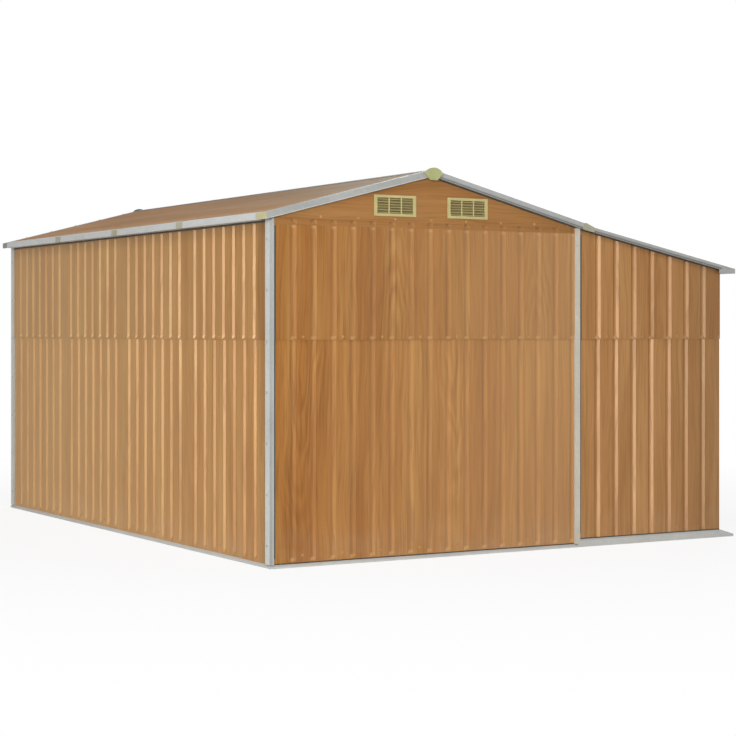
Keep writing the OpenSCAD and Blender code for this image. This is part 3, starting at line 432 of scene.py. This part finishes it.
def makeZinc(name, s, coat):
    material, tree, shader, where = newMaterial(name)
    spangle = placeGroup(tree, spangleGroup, (-500, 0), Vector=where, Size=coat["size"])
    tone = mathNode(tree, "MULTIPLY", spangle["Crystal"], coat["crystalShare"], (-250, 100))
    tone = mathNode(tree, "MULTIPLY_ADD", spangle["Cloud"], coat["cloudShare"], (-80, 100), c=tone)
    colour = ramp(tree, tone, [(0.0, s["low"]), (1.0, s["high"])], (100, 200))
    dust = placeGroup(tree, dustGroup, (-250, -300), Vector=where, Low=0.0, Reach=coat["dustReach"])
    dusty = mathNode(tree, "MULTIPLY", dust["Dust"], coat["dustShare"], (0, -300))
    colour = mixColour(tree, dusty, colour, coat["dust"], (420, 200))
    if "edge" in s:  # painted shade along a lower edge that falls away from a given place
        start, pitch, level = s["edge"]
        x, _, z = splitPlace(tree, where, (-500, 500))
        run = mathNode(tree, "SUBTRACT", x, start, (-320, 500))
        above = mathNode(tree, "MULTIPLY_ADD", run, math.tan(pitch), (-150, 500), c=z)
        low = remap(tree, above, level + coat["dripFull"], level + coat["dripEnd"], (50, 500),
                    coat["dripMost"], 0.0, "SMOOTHSTEP")
        colour = mixColour(tree, low, colour, coat["drip"], (560, 400))
    if "turn" in s:  # painted light and shade: bright on the face towards the side wall, dull on the bevel
        faces = splitPlace(tree, where.node.outputs["Normal"], (-500, 700))
        side = mathNode(tree, "MULTIPLY", faces[0], -1.0, (-320, 700))
        share = ramp(tree, side, [(place, (level, level, level)) for place, level in s["turn"]], (-150, 700))
        colour = mixColour(tree, 1.0, colour, share, (700, 400), "MULTIPLY")
    tree.links.new(colour, shader.inputs["Base Color"])
    rough = mathNode(tree, "MULTIPLY_ADD", spangle["Crystal"], coat["crystalRough"], (200, -80),
                     c=s["rough"] + coat["roughBy"])
    rough = mathNode(tree, "MULTIPLY_ADD", spangle["Scratch"], coat["scratchRough"], (400, -80), c=rough)
    tree.links.new(rough, shader.inputs["Roughness"])
    metal = mathNode(tree, "MULTIPLY_ADD", dusty, coat["dustMetal"], (420, -240), c=s["metal"])
    tree.links.new(metal, shader.inputs["Metallic"])
    peel = placeGroup(tree, peelGroup, (200, -560), Vector=where, Size=coat["peelSize"])
    bumpFrom(tree, shader, peel["Height"], *coat["bump"], (600, -500))
    return material


# moulded plastic: cream vents and caps, a greener cream at the ridge, and small brown or dark pieces; the darkest
# are beads of painted shade
plasticSettings = {
    "creamVent": {"low": (0.375, 0.315, 0.130), "high": (0.450, 0.385, 0.170), "rough": 0.50,
                  "recessShade": (0.205, 0.162, 0.060), "front": 1.6918},
    "creamCap": {"low": (0.360, 0.330, 0.190), "high": (0.425, 0.390, 0.235), "rough": 0.48,
                 "far": (0.20, 0.20, 0.19)},
    "joinerGrey": {"low": (0.255, 0.250, 0.175), "high": (0.335, 0.325, 0.235), "rough": 0.50},
    "olivePlastic": {"low": (0.285, 0.300, 0.130), "high": (0.355, 0.365, 0.170), "rough": 0.46,
                     "far": (0.125, 0.120, 0.090)},
    "screenOlive": {"low": (0.170, 0.138, 0.050), "high": (0.225, 0.186, 0.070), "rough": 0.60},
    "shadeBeadDark": {"low": (0.030, 0.022, 0.013), "high": (0.050, 0.038, 0.024), "rough": 0.70},
    "screwBrown": {"low": (0.34, 0.160, 0.045), "high": (0.43, 0.212, 0.068), "rough": 0.42},
}
# what all the plastic pieces share
plasticCoat = {
    "cloud": ((14.0, 14.0, 14.0), 4.0, 0.6), "cloudRange": (0.3, 0.7), "cloudRough": 0.16, "roughBy": -0.08,
    "recessShadeFull": 0.0028, "recessShadeEnd": 0.0012, "recessShadeMost": 0.92, "farFrom": -0.5, "farFull": 0.5,
    "peelSize": 900.0, "bump": (0.16, 0.001),
}


def makePlastic(name, s, coat):
    material, tree, shader, where = newMaterial(name)
    cloud = noiseAt(tree, where, *coat["cloud"], (-600, 100))
    tone = remap(tree, cloud, *coat["cloudRange"], (-200, 100))
    colour = ramp(tree, tone, [(0.0, s["low"]), (1.0, s["high"])], (0, 200))
    y = splitPlace(tree, where, (-720, 400))[1]
    if "recessShade" in s:  # painted shade behind the front edges
        depth = mathNode(tree, "ABSOLUTE", y, at=(-400, 400))
        inside = remap(tree, depth, s["front"] - coat["recessShadeFull"], s["front"] - coat["recessShadeEnd"], (-200, 400),
                       coat["recessShadeMost"], 0.0)
        colour = mixColour(tree, inside, colour, s["recessShade"], (300, 300))
    if "far" in s:  # the caps at the far end are greyer
        away = remap(tree, y, coat["farFrom"], coat["farFull"], (-200, 560))
        colour = mixColour(tree, away, colour, s["far"], (300, 460))
    tree.links.new(colour, shader.inputs["Base Color"])
    rough = mathNode(tree, "MULTIPLY_ADD", cloud, coat["cloudRough"], (200, -50), c=s["rough"] + coat["roughBy"])
    tree.links.new(rough, shader.inputs["Roughness"])
    peel = placeGroup(tree, peelGroup, (200, -300), Vector=where, Size=coat["peelSize"])
    bumpFrom(tree, shader, peel["Height"], *coat["bump"], (600, -300))
    return material


# each printed finish: material, print, grain seed, brightness and added roughness; the brightness makes each sheet
# lighter or darker as painted light and shade
printFinishes = {
    "endLow": ("endPrintLower", "endPrint", 1.3, 0.98, 0.0),
    "endHigh": ("endPrintUpper", "endPrint", 2.1, 0.90, 0.0),
    "sideLow": ("sidePrintLower", "sidePrint", 3.7, 1.0, 0.02),
    "sideHigh": ("sidePrintUpper", "sidePrint", 4.9, 0.92, 0.015),
    "leanLow": ("leanPrintLower", "leanPrint", 5.2, 0.98, 0.0),
    "leanHigh": ("leanPrintUpper", "leanPrint", 6.4, 0.93, 0.05),
    "gable": ("gablePrint", "gablePrint", 7.1, 0.92, 0.0),
    "door": ("doorPrint", "endPrint", 8.6, 1.0, 0.0),
    "roof": ("roofPrint", "roofPrint", 9.5, 1.0, 0.0),
}
finishes = {finish: makePrint(name, printSettings[look], printCoat, seed, level, dull, endSettings.get(finish))
            for finish, (name, look, seed, level, dull) in printFinishes.items()}
finishes.update({name: makeZinc(name, s, zincCoat) for name, s in zincSettings.items()})
finishes.update({name: makePlastic(name, s, plasticCoat) for name, s in plasticSettings.items()})

# the nodes of each finish; what isn't named is bright zinc
finishNodes = {
    "sideLow": ("left_wall_lower", "right_wall_lower"),
    "sideHigh": ("left_wall_upper", "right_wall_upper"),
    "endLow": ("closed_end_wall_lower", "door_end_wall_lower"),
    "endHigh": ("closed_end_wall_upper", "door_end_wall_upper"),
    "leanLow": ("lean_to_wall_lower", "lean_to_door_end_wall_lower"),
    "leanHigh": ("lean_to_wall_upper", "lean_to_door_end_wall_upper"),
    "gable": ("gable_panel_closed_end", "gable_panel_door_end"),
    "door": ("door_leaf_left", "door_leaf_right"),
    "roof": ("roof_left", "roof_right", "roof_lean_to"),
    "creamVent": ("vent_closed_end_left", "vent_closed_end_right", "vents_door_end"),
    "creamCap": ("eave_corner_caps",),
    "joinerGrey": ("door_handles", "eave_joiners", "verge_joiners"),
    "olivePlastic": ("ridge_end_caps",),
    "zincRidge": ("ridge_cap",),
    "zincDull": ("top_rail_left", "top_rail_right", "ridge_beam", "knee_beam", "corner_angles_right"),
    "zincWarm": ("mid_post_closed_end", "mid_post_door_end"),
    "zincRail": ("base_rail_left", "base_rail_right", "base_rail_closed_end", "base_rail_door_end",
                 "base_rails_lean_to"),
    "zincPost": ("corner_post_closed_end", "corner_post_door_end"),
    "zincLight": ("eave_trim_left",),
    "zincDark": ("eave_trim_lean_to",),
    "zincVerge": ("verge_trim_right",),
    "zincLeanVerge": ("verge_trim_lean_to",),
}
nodeFinish = {name: finish for finish, names in finishNodes.items() for name in names}
for name, node in nodes.items():
    node.data.materials.clear()
    node.data.materials.append(finishes[nodeFinish.get(name, "zincBright")])
print("finishes set on", len(nodes), "nodes")


# pieces that the looks add to the CAD nodes
def addPiece(name, bm, finish):
    bmesh.ops.recalc_face_normals(bm, faces=bm.faces)
    mesh = bpy.data.meshes.new(name)
    bm.to_mesh(mesh)
    bm.free()
    mesh.materials.append(finishes[finish])
    piece = bpy.data.objects.new(name, mesh)
    scene.collection.objects.link(piece)
    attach(piece, "root")


def facing(place, normal):
    return Matrix.Translation(place) @ Vector(normal).to_track_quat("Z", "Y").to_matrix().to_4x4()


def slopeNormal(pitch, side):
    return (side * math.sin(pitch), 0, math.cos(pitch))


# screws: a washer and a hexagon head with a broken edge; reach is how far from its place a seat is looked for
screwSettings = {
    "washer": 0.0068, "washerTop": 0.86, "washerThick": 0.0009, "washerSides": 12,
    "head": 0.0042, "headHigh": 0.0026, "headSides": 6, "broken": 0.0007, "sunk": 0.0001, "reach": 0.04,
}


def addScrew(bm, place, normal, s):
    seat = facing(place, normal)

    def addRound(sides, wide, top, low, high):
        bmesh.ops.create_cone(bm, cap_ends=True, segments=sides, radius1=wide, radius2=top, depth=high,
                              matrix=seat @ Matrix.Translation((0, 0, low + high / 2)))

    low = s["washerThick"] - s["sunk"]
    straight = s["headHigh"] - s["broken"]
    addRound(s["washerSides"], s["washer"], s["washer"] * s["washerTop"], 0.0, s["washerThick"])
    addRound(s["headSides"], s["head"], s["head"], low, straight)
    addRound(s["headSides"], s["head"], s["head"] - s["broken"], low + straight, s["broken"])


def spread(low, high, count):
    return [low + (high - low) * i / (count - 1) for i in range(count)]


def middles(places):
    return [(a + b) / 2 for a, b in zip(places, places[1:])]


# the pressed grooves of the wall sheets, which the screws stand between
grooveSettings = {
    "endFirst": 0.1155, "endStep": 0.1025, "endCount": 16, "leanFirst": 0.126, "leanStep": 0.111, "leanCount": 7,
    "sideStep": 0.105, "sideCount": 7,
}


def grooveLines(s):
    ends = [shed["leftX"] + s["endFirst"] + i * s["endStep"] for i in range(s["endCount"])]
    lean = [shed["midX"] + s["leanFirst"] + i * s["leanStep"] for i in range(s["leanCount"])]
    side = [(k - shed["bays"] // 2) * shed["bay"] + shed["bay"] / 2 + (j - s["sideCount"] // 2) * s["sideStep"]
            for k in range(shed["bays"]) for j in range(s["sideCount"])]
    return middles(ends)[::2], middles(lean)[::2], middles(side)[::3]


# where the screws stand
rowSettings = {
    "seamUp": 0.014, "foot": 0.052, "leanFoot": 0.062, "gableUp": 0.013, "gableIn": 0.06, "gableCount": 9,
    "roofEnd": 1.60, "roofCount": 9, "roofOut": 0.775, "leanRoofIn": 0.03,
    "postLow": 0.10, "postHigh": 1.46, "cornerCount": 7, "cornerIn": 0.034, "midCount": 5,
    "vergeFrom": 0.12, "vergeTo": 0.86, "vergeCount": 5, "vergeIn": 0.018, "leanFrom": 0.14, "leanRun": 0.72,
    "ridgeOut": 0.034,
}


def wallRows(s):
    endPlaces, leanPlaces, sidePlaces = grooveLines(grooveSettings)
    seam, foot, leanFoot = shed["seamZ"] + s["seamUp"], s["foot"], s["leanFoot"]
    rows = []
    for sign, end in shedEnds:
        lean = "lean_to" if sign < 0 else "lean_to_door_end"
        out, y = (0, sign, 0), sign * shed["endY"]
        for x in endPlaces:
            if sign < 0 or abs(x - shed["ridgeX"]) > shed["doorHalf"]:
                rows += [(end + "_wall_upper", (x, y, seam), out), (end + "_wall_lower", (x, y, foot), out)]
        for x in leanPlaces:
            rows += [(lean + "_wall_upper", (x, y, seam), out), (lean + "_wall_lower", (x, y, leanFoot), out)]
        for x in spread(shed["leftX"] + s["gableIn"], shed["midX"] - s["gableIn"], s["gableCount"]):
            rows.append(("gable_panel_" + end, (x, y, shed["gableZ"] + s["gableUp"]), out))
    for side, wall, x, low in ((-1, "left_wall", shed["leftX"], foot), (1, "right_wall", shed["rightX"], leanFoot)):
        for y in sidePlaces:
            rows += [(wall + "_upper", (x, y, seam), (side, 0, 0)), (wall + "_lower", (x, y, low), (side, 0, 0))]
    main, lean = shed["mainPitch"], shed["leanPitch"]
    high = shed["roofZ"] + (shed["mainHalf"] - s["roofOut"]) * math.tan(main)
    edge = shed["rightX"] - s["leanRoofIn"]
    low = shed["kneeZ"] - (edge - shed["midX"]) * math.tan(lean)
    for y in spread(-s["roofEnd"], s["roofEnd"], s["roofCount"]):
        for side, node in ((-1, "roof_left"), (1, "roof_right")):
            rows.append((node, (shed["ridgeX"] + side * s["roofOut"], y, high), slopeNormal(main, side)))
        rows.append(("roof_lean_to", (edge, y, low), slopeNormal(lean, 1)))
    return rows


def trimRows(s):
    rows = []
    main, lean, half = shed["mainPitch"], shed["leanPitch"], shed["mainHalf"]
    for sign, end in shedEnds:
        for z in spread(s["postLow"], s["postHigh"], s["cornerCount"]):
            place = (shed["leftX"], sign * (shed["endY"] - s["cornerIn"]), z)
            rows.append(("corner_post_" + end, place, (-1, 0, 0)))
        trims = ("verge_trim_left", "verge_trim_right", "verge_trim_lean_to") if sign < 0 else (
            "verge_trims_door_end",) * 3
        y = sign * (shed["vergeY"] - s["vergeIn"])
        for share in spread(s["vergeFrom"], s["vergeTo"], s["vergeCount"]):  # top flanges of the verge trims
            z = shed["roofZ"] + share * half * math.tan(main)
            for side, node in ((-1, trims[0]), (1, trims[1])):
                rows.append((node, (shed["ridgeX"] + side * half * (1 - share), y, z), slopeNormal(main, side)))
            run = s["leanFrom"] + share * s["leanRun"]
            place = (shed["midX"] + run, y, shed["kneeZ"] - run * math.tan(lean))
            rows.append((trims[2], place, slopeNormal(lean, 1)))
    z = shed["roofZ"] + (half - s["ridgeOut"]) * math.tan(main)
    for y in spread(-s["roofEnd"], s["roofEnd"], s["roofCount"]):
        for side in (-1, 1):
            rows.append(("ridge_cap", (shed["ridgeX"] + side * s["ridgeOut"], y, z), slopeNormal(main, side)))
    return rows


def postRows(s):
    return [("mid_post_" + end, (shed["midX"], sign * shed["endY"], z), (0, sign, 0))
            for sign, end in shedEnds for z in spread(s["postLow"], s["postHigh"], s["midCount"])]


def makeScrews(s, rowPlaces):
    trees = {}
    for name, slot, finish, rows in (("wall_screws", "wall_sheet", "screwBrown", wallRows(rowPlaces)),
                                     ("trim_screws", "galvanised", "zincBright", trimRows(rowPlaces)),
                                     ("post_screws", "galvanised", "zincWarm", postRows(rowPlaces))):
        bm = bmesh.new()
        seated = 0
        for node, place, normal in rows:
            if node not in trees:
                mesh = nodes[node].data
                trees[node] = BVHTree.FromPolygons([v.co for v in mesh.vertices],
                                                   [p.vertices for p in mesh.polygons])
            normal = Vector(normal)
            start = Vector(place) + normal * s["reach"]
            hit = trees[node].ray_cast(start, -normal, 2 * s["reach"])[0]  # the face that carries it
            if hit:
                addScrew(bm, hit, normal, s)
                seated += 1
        addPiece(name, bm, finish)
        print(name, seated, "of", len(rows))


makeScrews(screwSettings, rowSettings)

# hems: the rolled lower edges of the verge and eave trims; those on the right-hand verges take the darker zinc as
# painted shade
hemSettings = {
    "radius": 0.0017, "sides": 8, "proud": 0.35, "vergeDrop": 0.0292, "vergeOut": 0.845, "vergeIn": 0.022,
    "leanDrop": 0.0208, "leanFrom": 0.100, "leanIn": 0.006,
    "eaveLow": 1.5440, "eaveX": -1.3556, "eaveProud": 0.2, "eaveEnd": 1.6265, "afterJoint": -0.018,
    "beforeJoint": -0.051,
}


def addHem(bm, start, stop, s):
    start, stop = Vector(start), Vector(stop)
    made = bmesh.ops.create_circle(bm, cap_ends=True, segments=s["sides"], radius=s["radius"],
                                   matrix=facing(start, stop - start))
    face = made["verts"][0].link_faces[0]
    grown = bmesh.ops.extrude_face_region(bm, geom=[face], use_keep_orig=True)
    corners = [v for v in grown["geom"] if isinstance(v, bmesh.types.BMVert)]
    bmesh.ops.translate(bm, vec=stop - start, verts=corners)


def makeHems(s):
    bm, dull = bmesh.new(), bmesh.new()
    rise, fall = math.tan(shed["mainPitch"]), math.tan(shed["leanPitch"])
    for sign, _ in shedEnds:
        y = sign * (shed["vergeY"] + s["radius"] * s["proud"])
        low = shed["roofZ"] - s["vergeDrop"]
        high = low + (s["vergeOut"] - s["vergeIn"]) * rise
        for side, mesh in ((-1, bm), (1, dull)):
            addHem(mesh, (shed["ridgeX"] + side * s["vergeOut"], y, low),
                   (shed["ridgeX"] + side * s["vergeIn"], y, high), s)
        low = shed["kneeZ"] - s["leanDrop"]
        edge = shed["rightX"] - s["leanIn"]
        addHem(dull, (shed["midX"] + s["leanFrom"], y, low - s["leanFrom"] * fall),
               (edge, y, low - (edge - shed["midX"]) * fall), s)
    x, z = s["eaveX"] - s["radius"] * s["eaveProud"], s["eaveLow"] + s["radius"]
    joints = [(k - shed["bays"] // 2) * shed["bay"] for k in range(1, shed["bays"])]
    starts = [-s["eaveEnd"]] + [joint + s["afterJoint"] for joint in joints]
    stops = [joint + s["beforeJoint"] for joint in joints] + [s["eaveEnd"]]
    for near, far in zip(starts, stops):
        addHem(bm, (x, near, z), (x, far, z), s)
    addPiece("trim_hems", bm, "zincLight")
    addPiece("right_verge_hems", dull, "zincDull")
    print("trim_hems made")


makeHems(hemSettings)

# dark beads of painted shade beside the posts, on the base rails, under the right-hand verges and under the left
# eave
shadeBeadSettings = {
    "sides": 8, "post": 0.0048, "foot": 0.0022, "verge": 0.0036, "eave": 0.0042, "proud": 0.0010,
    "topProud": 0.0015,
    "cornerOut": 0.0225, "midOut": 0.0195, "cornerLow": 0.045, "midLow": 0.067, "postTop": 1.520,
    "footFrom": 0.025, "footIn": 0.018, "leanFootIn": 0.004, "doorOut": 0.03, "footZ": 0.0185, "leanFootZ": 0.0405,
    "vergeDrop": 0.0326, "vergeFrom": 0.045, "vergeIn": 0.016,
    "leanDrop": 0.0240, "leanFrom": 0.020, "leanIn": 0.010,
    "eaveZ": 1.5405, "eaveEnd": 1.630,
}


def makeShadeBeads(s):
    bm = bmesh.new()
    rise, fall = math.tan(shed["mainPitch"]), math.tan(shed["leanPitch"])
    left, mid, right, ridge = shed["leftX"], shed["midX"], shed["rightX"], shed["ridgeX"]
    beads = {place: {"sides": s["sides"], "radius": s[place]} for place in ("post", "foot", "verge", "eave")}
    doorGap = shed["doorHalf"] + s["doorOut"]
    for sign, _ in shedEnds:
        seam = shed["seamZ"]
        for inset, cornerLow, midLow, high in ((shed["lowerSet"], s["cornerLow"], s["midLow"], seam),
                                               (shed["upperSet"], seam, seam, s["postTop"])):
            y = sign * (shed["endY"] - inset + s["proud"])
            for x, low in ((left + s["cornerOut"], cornerLow), (mid + s["midOut"], midLow)):
                addHem(bm, (x, y, low), (x, y, high), beads["post"])
        y = sign * (shed["endY"] - shed["lowerSet"] + s["proud"])
        stops = [left + s["footFrom"], mid - s["footIn"]]
        if sign > 0:  # the doorway parts the bead
            stops[1:1] = [ridge - doorGap, ridge + doorGap]
        for near, far in zip(stops[::2], stops[1::2]):
            addHem(bm, (near, y, s["footZ"]), (far, y, s["footZ"]), beads["foot"])
        addHem(bm, (mid + s["footIn"], y, s["leanFootZ"]), (right - s["leanFootIn"], y, s["leanFootZ"]),
               beads["foot"])
        y = sign * (shed["endY"] - shed["panelSet"] + s["topProud"])
        low = shed["roofZ"] - s["vergeDrop"]
        addHem(bm, (ridge + s["vergeFrom"], y, low + (shed["mainHalf"] - s["vergeFrom"]) * rise),
               (mid - s["vergeIn"], y, low + s["vergeIn"] * rise), beads["verge"])
        y = sign * (shed["endY"] - shed["upperSet"] + s["topProud"])
        low = shed["kneeZ"] - s["leanDrop"]
        edge = right - s["leanIn"]
        addHem(bm, (mid + s["leanFrom"], y, low - s["leanFrom"] * fall),
               (edge, y, low - (edge - mid) * fall), beads["verge"])
    x = left + shed["upperSet"] - s["topProud"]
    addHem(bm, (x, -s["eaveEnd"], s["eaveZ"]), (x, s["eaveEnd"], s["eaveZ"]), beads["eave"])
    addPiece("painted_shade_beads", bm, "shadeBeadDark")
    print("painted_shade_beads made")


makeShadeBeads(shadeBeadSettings)

# insect screens behind the louvres of the four vents
screenSettings = {
    "wide": 0.0592, "high": 0.0720, "step": 0.0657, "depth": 0.0074, "thick": 0.0006,
    "cells": (8, 10), "web": 0.0018, "ventX": (-0.6706, -0.2736), "ventZ": 1.626, "ventProud": 0.0053,
}


def makeScreens(s):
    bm = bmesh.new()
    front = shed["endY"] - shed["panelSet"] + s["ventProud"]
    flat = Matrix.Rotation(math.pi / 2, 4, "X") @ Matrix.Diagonal((s["wide"], s["high"], 1.0, 1.0))
    for sign, _ in shedEnds:
        y = sign * (front - s["depth"] - s["thick"] / 2)
        for x in [vent + column * s["step"] for vent in s["ventX"] for column in (-1, 0, 1)]:
            made = bmesh.ops.create_grid(bm, x_segments=s["cells"][0], y_segments=s["cells"][1], size=0.5,
                                         matrix=Matrix.Translation((x, y, s["ventZ"])) @ flat)
            holes = list(dict.fromkeys(face for corner in made["verts"] for face in corner.link_faces))
            rims = bmesh.ops.inset_individual(bm, faces=holes, thickness=s["web"], use_even_offset=True)
            bmesh.ops.delete(bm, geom=holes, context="FACES_ONLY")
            bmesh.ops.solidify(bm, geom=rims["faces"], thickness=s["thick"])
    addPiece("vent_screens", bm, "screenOlive")
    print("vent_screens made")


makeScreens(screenSettings)


# stage helpers
def seenStraight(tree, at):
    path = addNode(tree, "ShaderNodeLightPath", at)
    camera, glossy, through = (path.outputs[f"Is {kind} Ray"] for kind in ("Camera", "Glossy", "Transmission"))
    seen = mathNode(tree, "ADD", camera, glossy, (at[0] + 200, at[1]))
    return mathNode(tree, "ADD", seen, through, (at[0] + 400, at[1]), clamp=True)


def addFlat(name, size, matrix):
    bm = bmesh.new()
    bmesh.ops.create_grid(bm, x_segments=1, y_segments=1, size=size, matrix=matrix)
    mesh = bpy.data.meshes.new(name)
    bm.to_mesh(mesh)
    bm.free()
    flat = bpy.data.objects.new(name, mesh)
    scene.collection.objects.link(flat)
    material = bpy.data.materials.new(name)
    material.use_nodes = True
    material.node_tree.nodes.clear()
    mesh.materials.append(material)
    return flat, material.node_tree


# lamps, world and floor
lightSettings = {
    "ambient": 0.17, "white": (1.0, 1.0, 1.0, 1.0),
    "floorColour": (0.92, 0.92, 0.92, 1.0), "floorWhite": 0.87, "whiteFrom": 2.2, "whiteBy": 5.5,
    "floorHalf": 40.0, "floorZ": -0.0006,
    "lamps": {
        "key": {"at": (-8.6, -9.2, 3.4), "to": (-0.3, -0.9, 0.9), "wide": 3.0, "high": 2.0, "power": 700.0},
        "frontStrip": {"at": (-4.85, -12.2, 0.5), "to": (0.8, -1.7, 0.5), "wide": 2.4, "high": 6.0, "power": 700.0},
        "leftStrip": {"at": (-13.3, -2.2, 0.4), "to": (-1.3, -1.2, 0.4), "wide": 2.2, "high": 6.0, "power": 700.0},
        "topFront": {"at": (-3.0, -6.0, 9.5), "to": (-0.2, 0.0, 0.8), "wide": 4.0, "high": 3.0, "power": 270.0},
        "backFill": {"at": (6.5, 7.5, 5.0), "to": (0.0, 0.0, 0.8), "wide": 5.0, "high": 4.0, "power": 420.0},
    },
}


def makeStage(s):
    world = bpy.data.worlds.new("studioWhite")
    scene.world = world
    world.use_nodes = True
    tree = world.node_tree
    tree.nodes.clear()
    sky = addNode(tree, "ShaderNodeBackground", (200, 0))
    feed(tree, sky, "Color", s["white"])
    glow = remap(tree, seenStraight(tree, (-600, 0)), 0.0, 1.0, (0, 0), s["ambient"], 1.0)
    tree.links.new(glow, sky.inputs["Strength"])
    tree.links.new(sky.outputs[0], addNode(tree, "ShaderNodeOutputWorld", (400, 0)).inputs["Surface"])

    for name, v in s["lamps"].items():
        lamp = bpy.data.lights.new(name, "AREA")
        lamp.shape, lamp.size, lamp.size_y = "RECTANGLE", v["wide"], v["high"]
        lamp.energy = v["power"]
        box = bpy.data.objects.new(name, lamp)
        box.location = v["at"]
        box.rotation_euler = (Vector(v["to"]) - Vector(v["at"])).to_track_quat("-Z", "Y").to_euler()
        scene.collection.objects.link(box)

    # the floor keeps the shadow and turns white away from the shed
    floor, tree = addFlat("paleFloor", s["floorHalf"], Matrix.Translation((0, 0, s["floorZ"])))
    pale = addNode(tree, "ShaderNodeBsdfDiffuse", (-200, 100))
    feed(tree, pale, "Color", s["floorColour"])
    glow = addNode(tree, "ShaderNodeEmission", (-200, -100))
    feed(tree, glow, "Color", s["white"])
    lit = addNode(tree, "ShaderNodeMixShader", (0, 0))
    away = addNode(tree, "ShaderNodeVectorMath", (-800, 300), operation="LENGTH")
    tree.links.new(addNode(tree, "ShaderNodeTexCoord", (-1000, 300)).outputs["Object"], away.inputs[0])
    white = remap(tree, away.outputs["Value"], s["whiteFrom"], s["whiteBy"], (-600, 300), s["floorWhite"], 1.0)
    share = mathNode(tree, "MULTIPLY", seenStraight(tree, (-800, 0)), white, (-200, 260))
    for socket, value in enumerate((share, pale.outputs[0], glow.outputs[0])):
        tree.links.new(value, lit.inputs[socket])
    tree.links.new(lit.outputs[0], addNode(tree, "ShaderNodeOutputMaterial", (200, 0)).inputs["Surface"])
    floor.visible_glossy = False


# a dim card at the back left, so that the side wall doesn't mirror the white studio at a low angle
cardSettings = {"at": (-6.2, 8.2, 1.6), "wide": 9.0, "high": 7.0, "turn": math.radians(-30.0),
                "colour": (0.34, 0.30, 0.25, 1.0)}


def makeCard(s):
    upright = Matrix.Rotation(s["turn"], 4, "Z") @ Matrix.Rotation(math.pi / 2, 4, "X")
    stand = Matrix.Translation(s["at"]) @ upright
    card, tree = addFlat("dimCard", 0.5, stand @ Matrix.Diagonal((s["wide"], s["high"], 1.0, 1.0)))
    tone = addNode(tree, "ShaderNodeEmission", (0, 0))
    feed(tree, tone, "Color", s["colour"])
    tree.links.new(tone.outputs[0], addNode(tree, "ShaderNodeOutputMaterial", (200, 0)).inputs["Surface"])
    card.visible_camera = card.visible_diffuse = card.visible_shadow = False


makeStage(lightSettings)
makeCard(cardSettings)

# the photo's view: a level camera with its frame shifted down
cameraSettings = {"at": (-5.1119, -9.0460, 1.0526), "turn": -0.5287, "lens": 91.66, "sensor": 36.0,
                  "shiftY": -0.0504}


def makeCamera(s):
    lens = bpy.data.cameras.new("photoView")
    lens.sensor_width, lens.lens, lens.shift_y = s["sensor"], s["lens"], s["shiftY"]
    camera = bpy.data.objects.new("photoView", lens)
    camera.location = s["at"]
    camera.rotation_euler = (math.pi / 2, 0.0, s["turn"])
    scene.collection.objects.link(camera)
    scene.camera = camera


makeCamera(cameraSettings)
scene.view_settings.view_transform = "Standard"
print("stage and camera set")
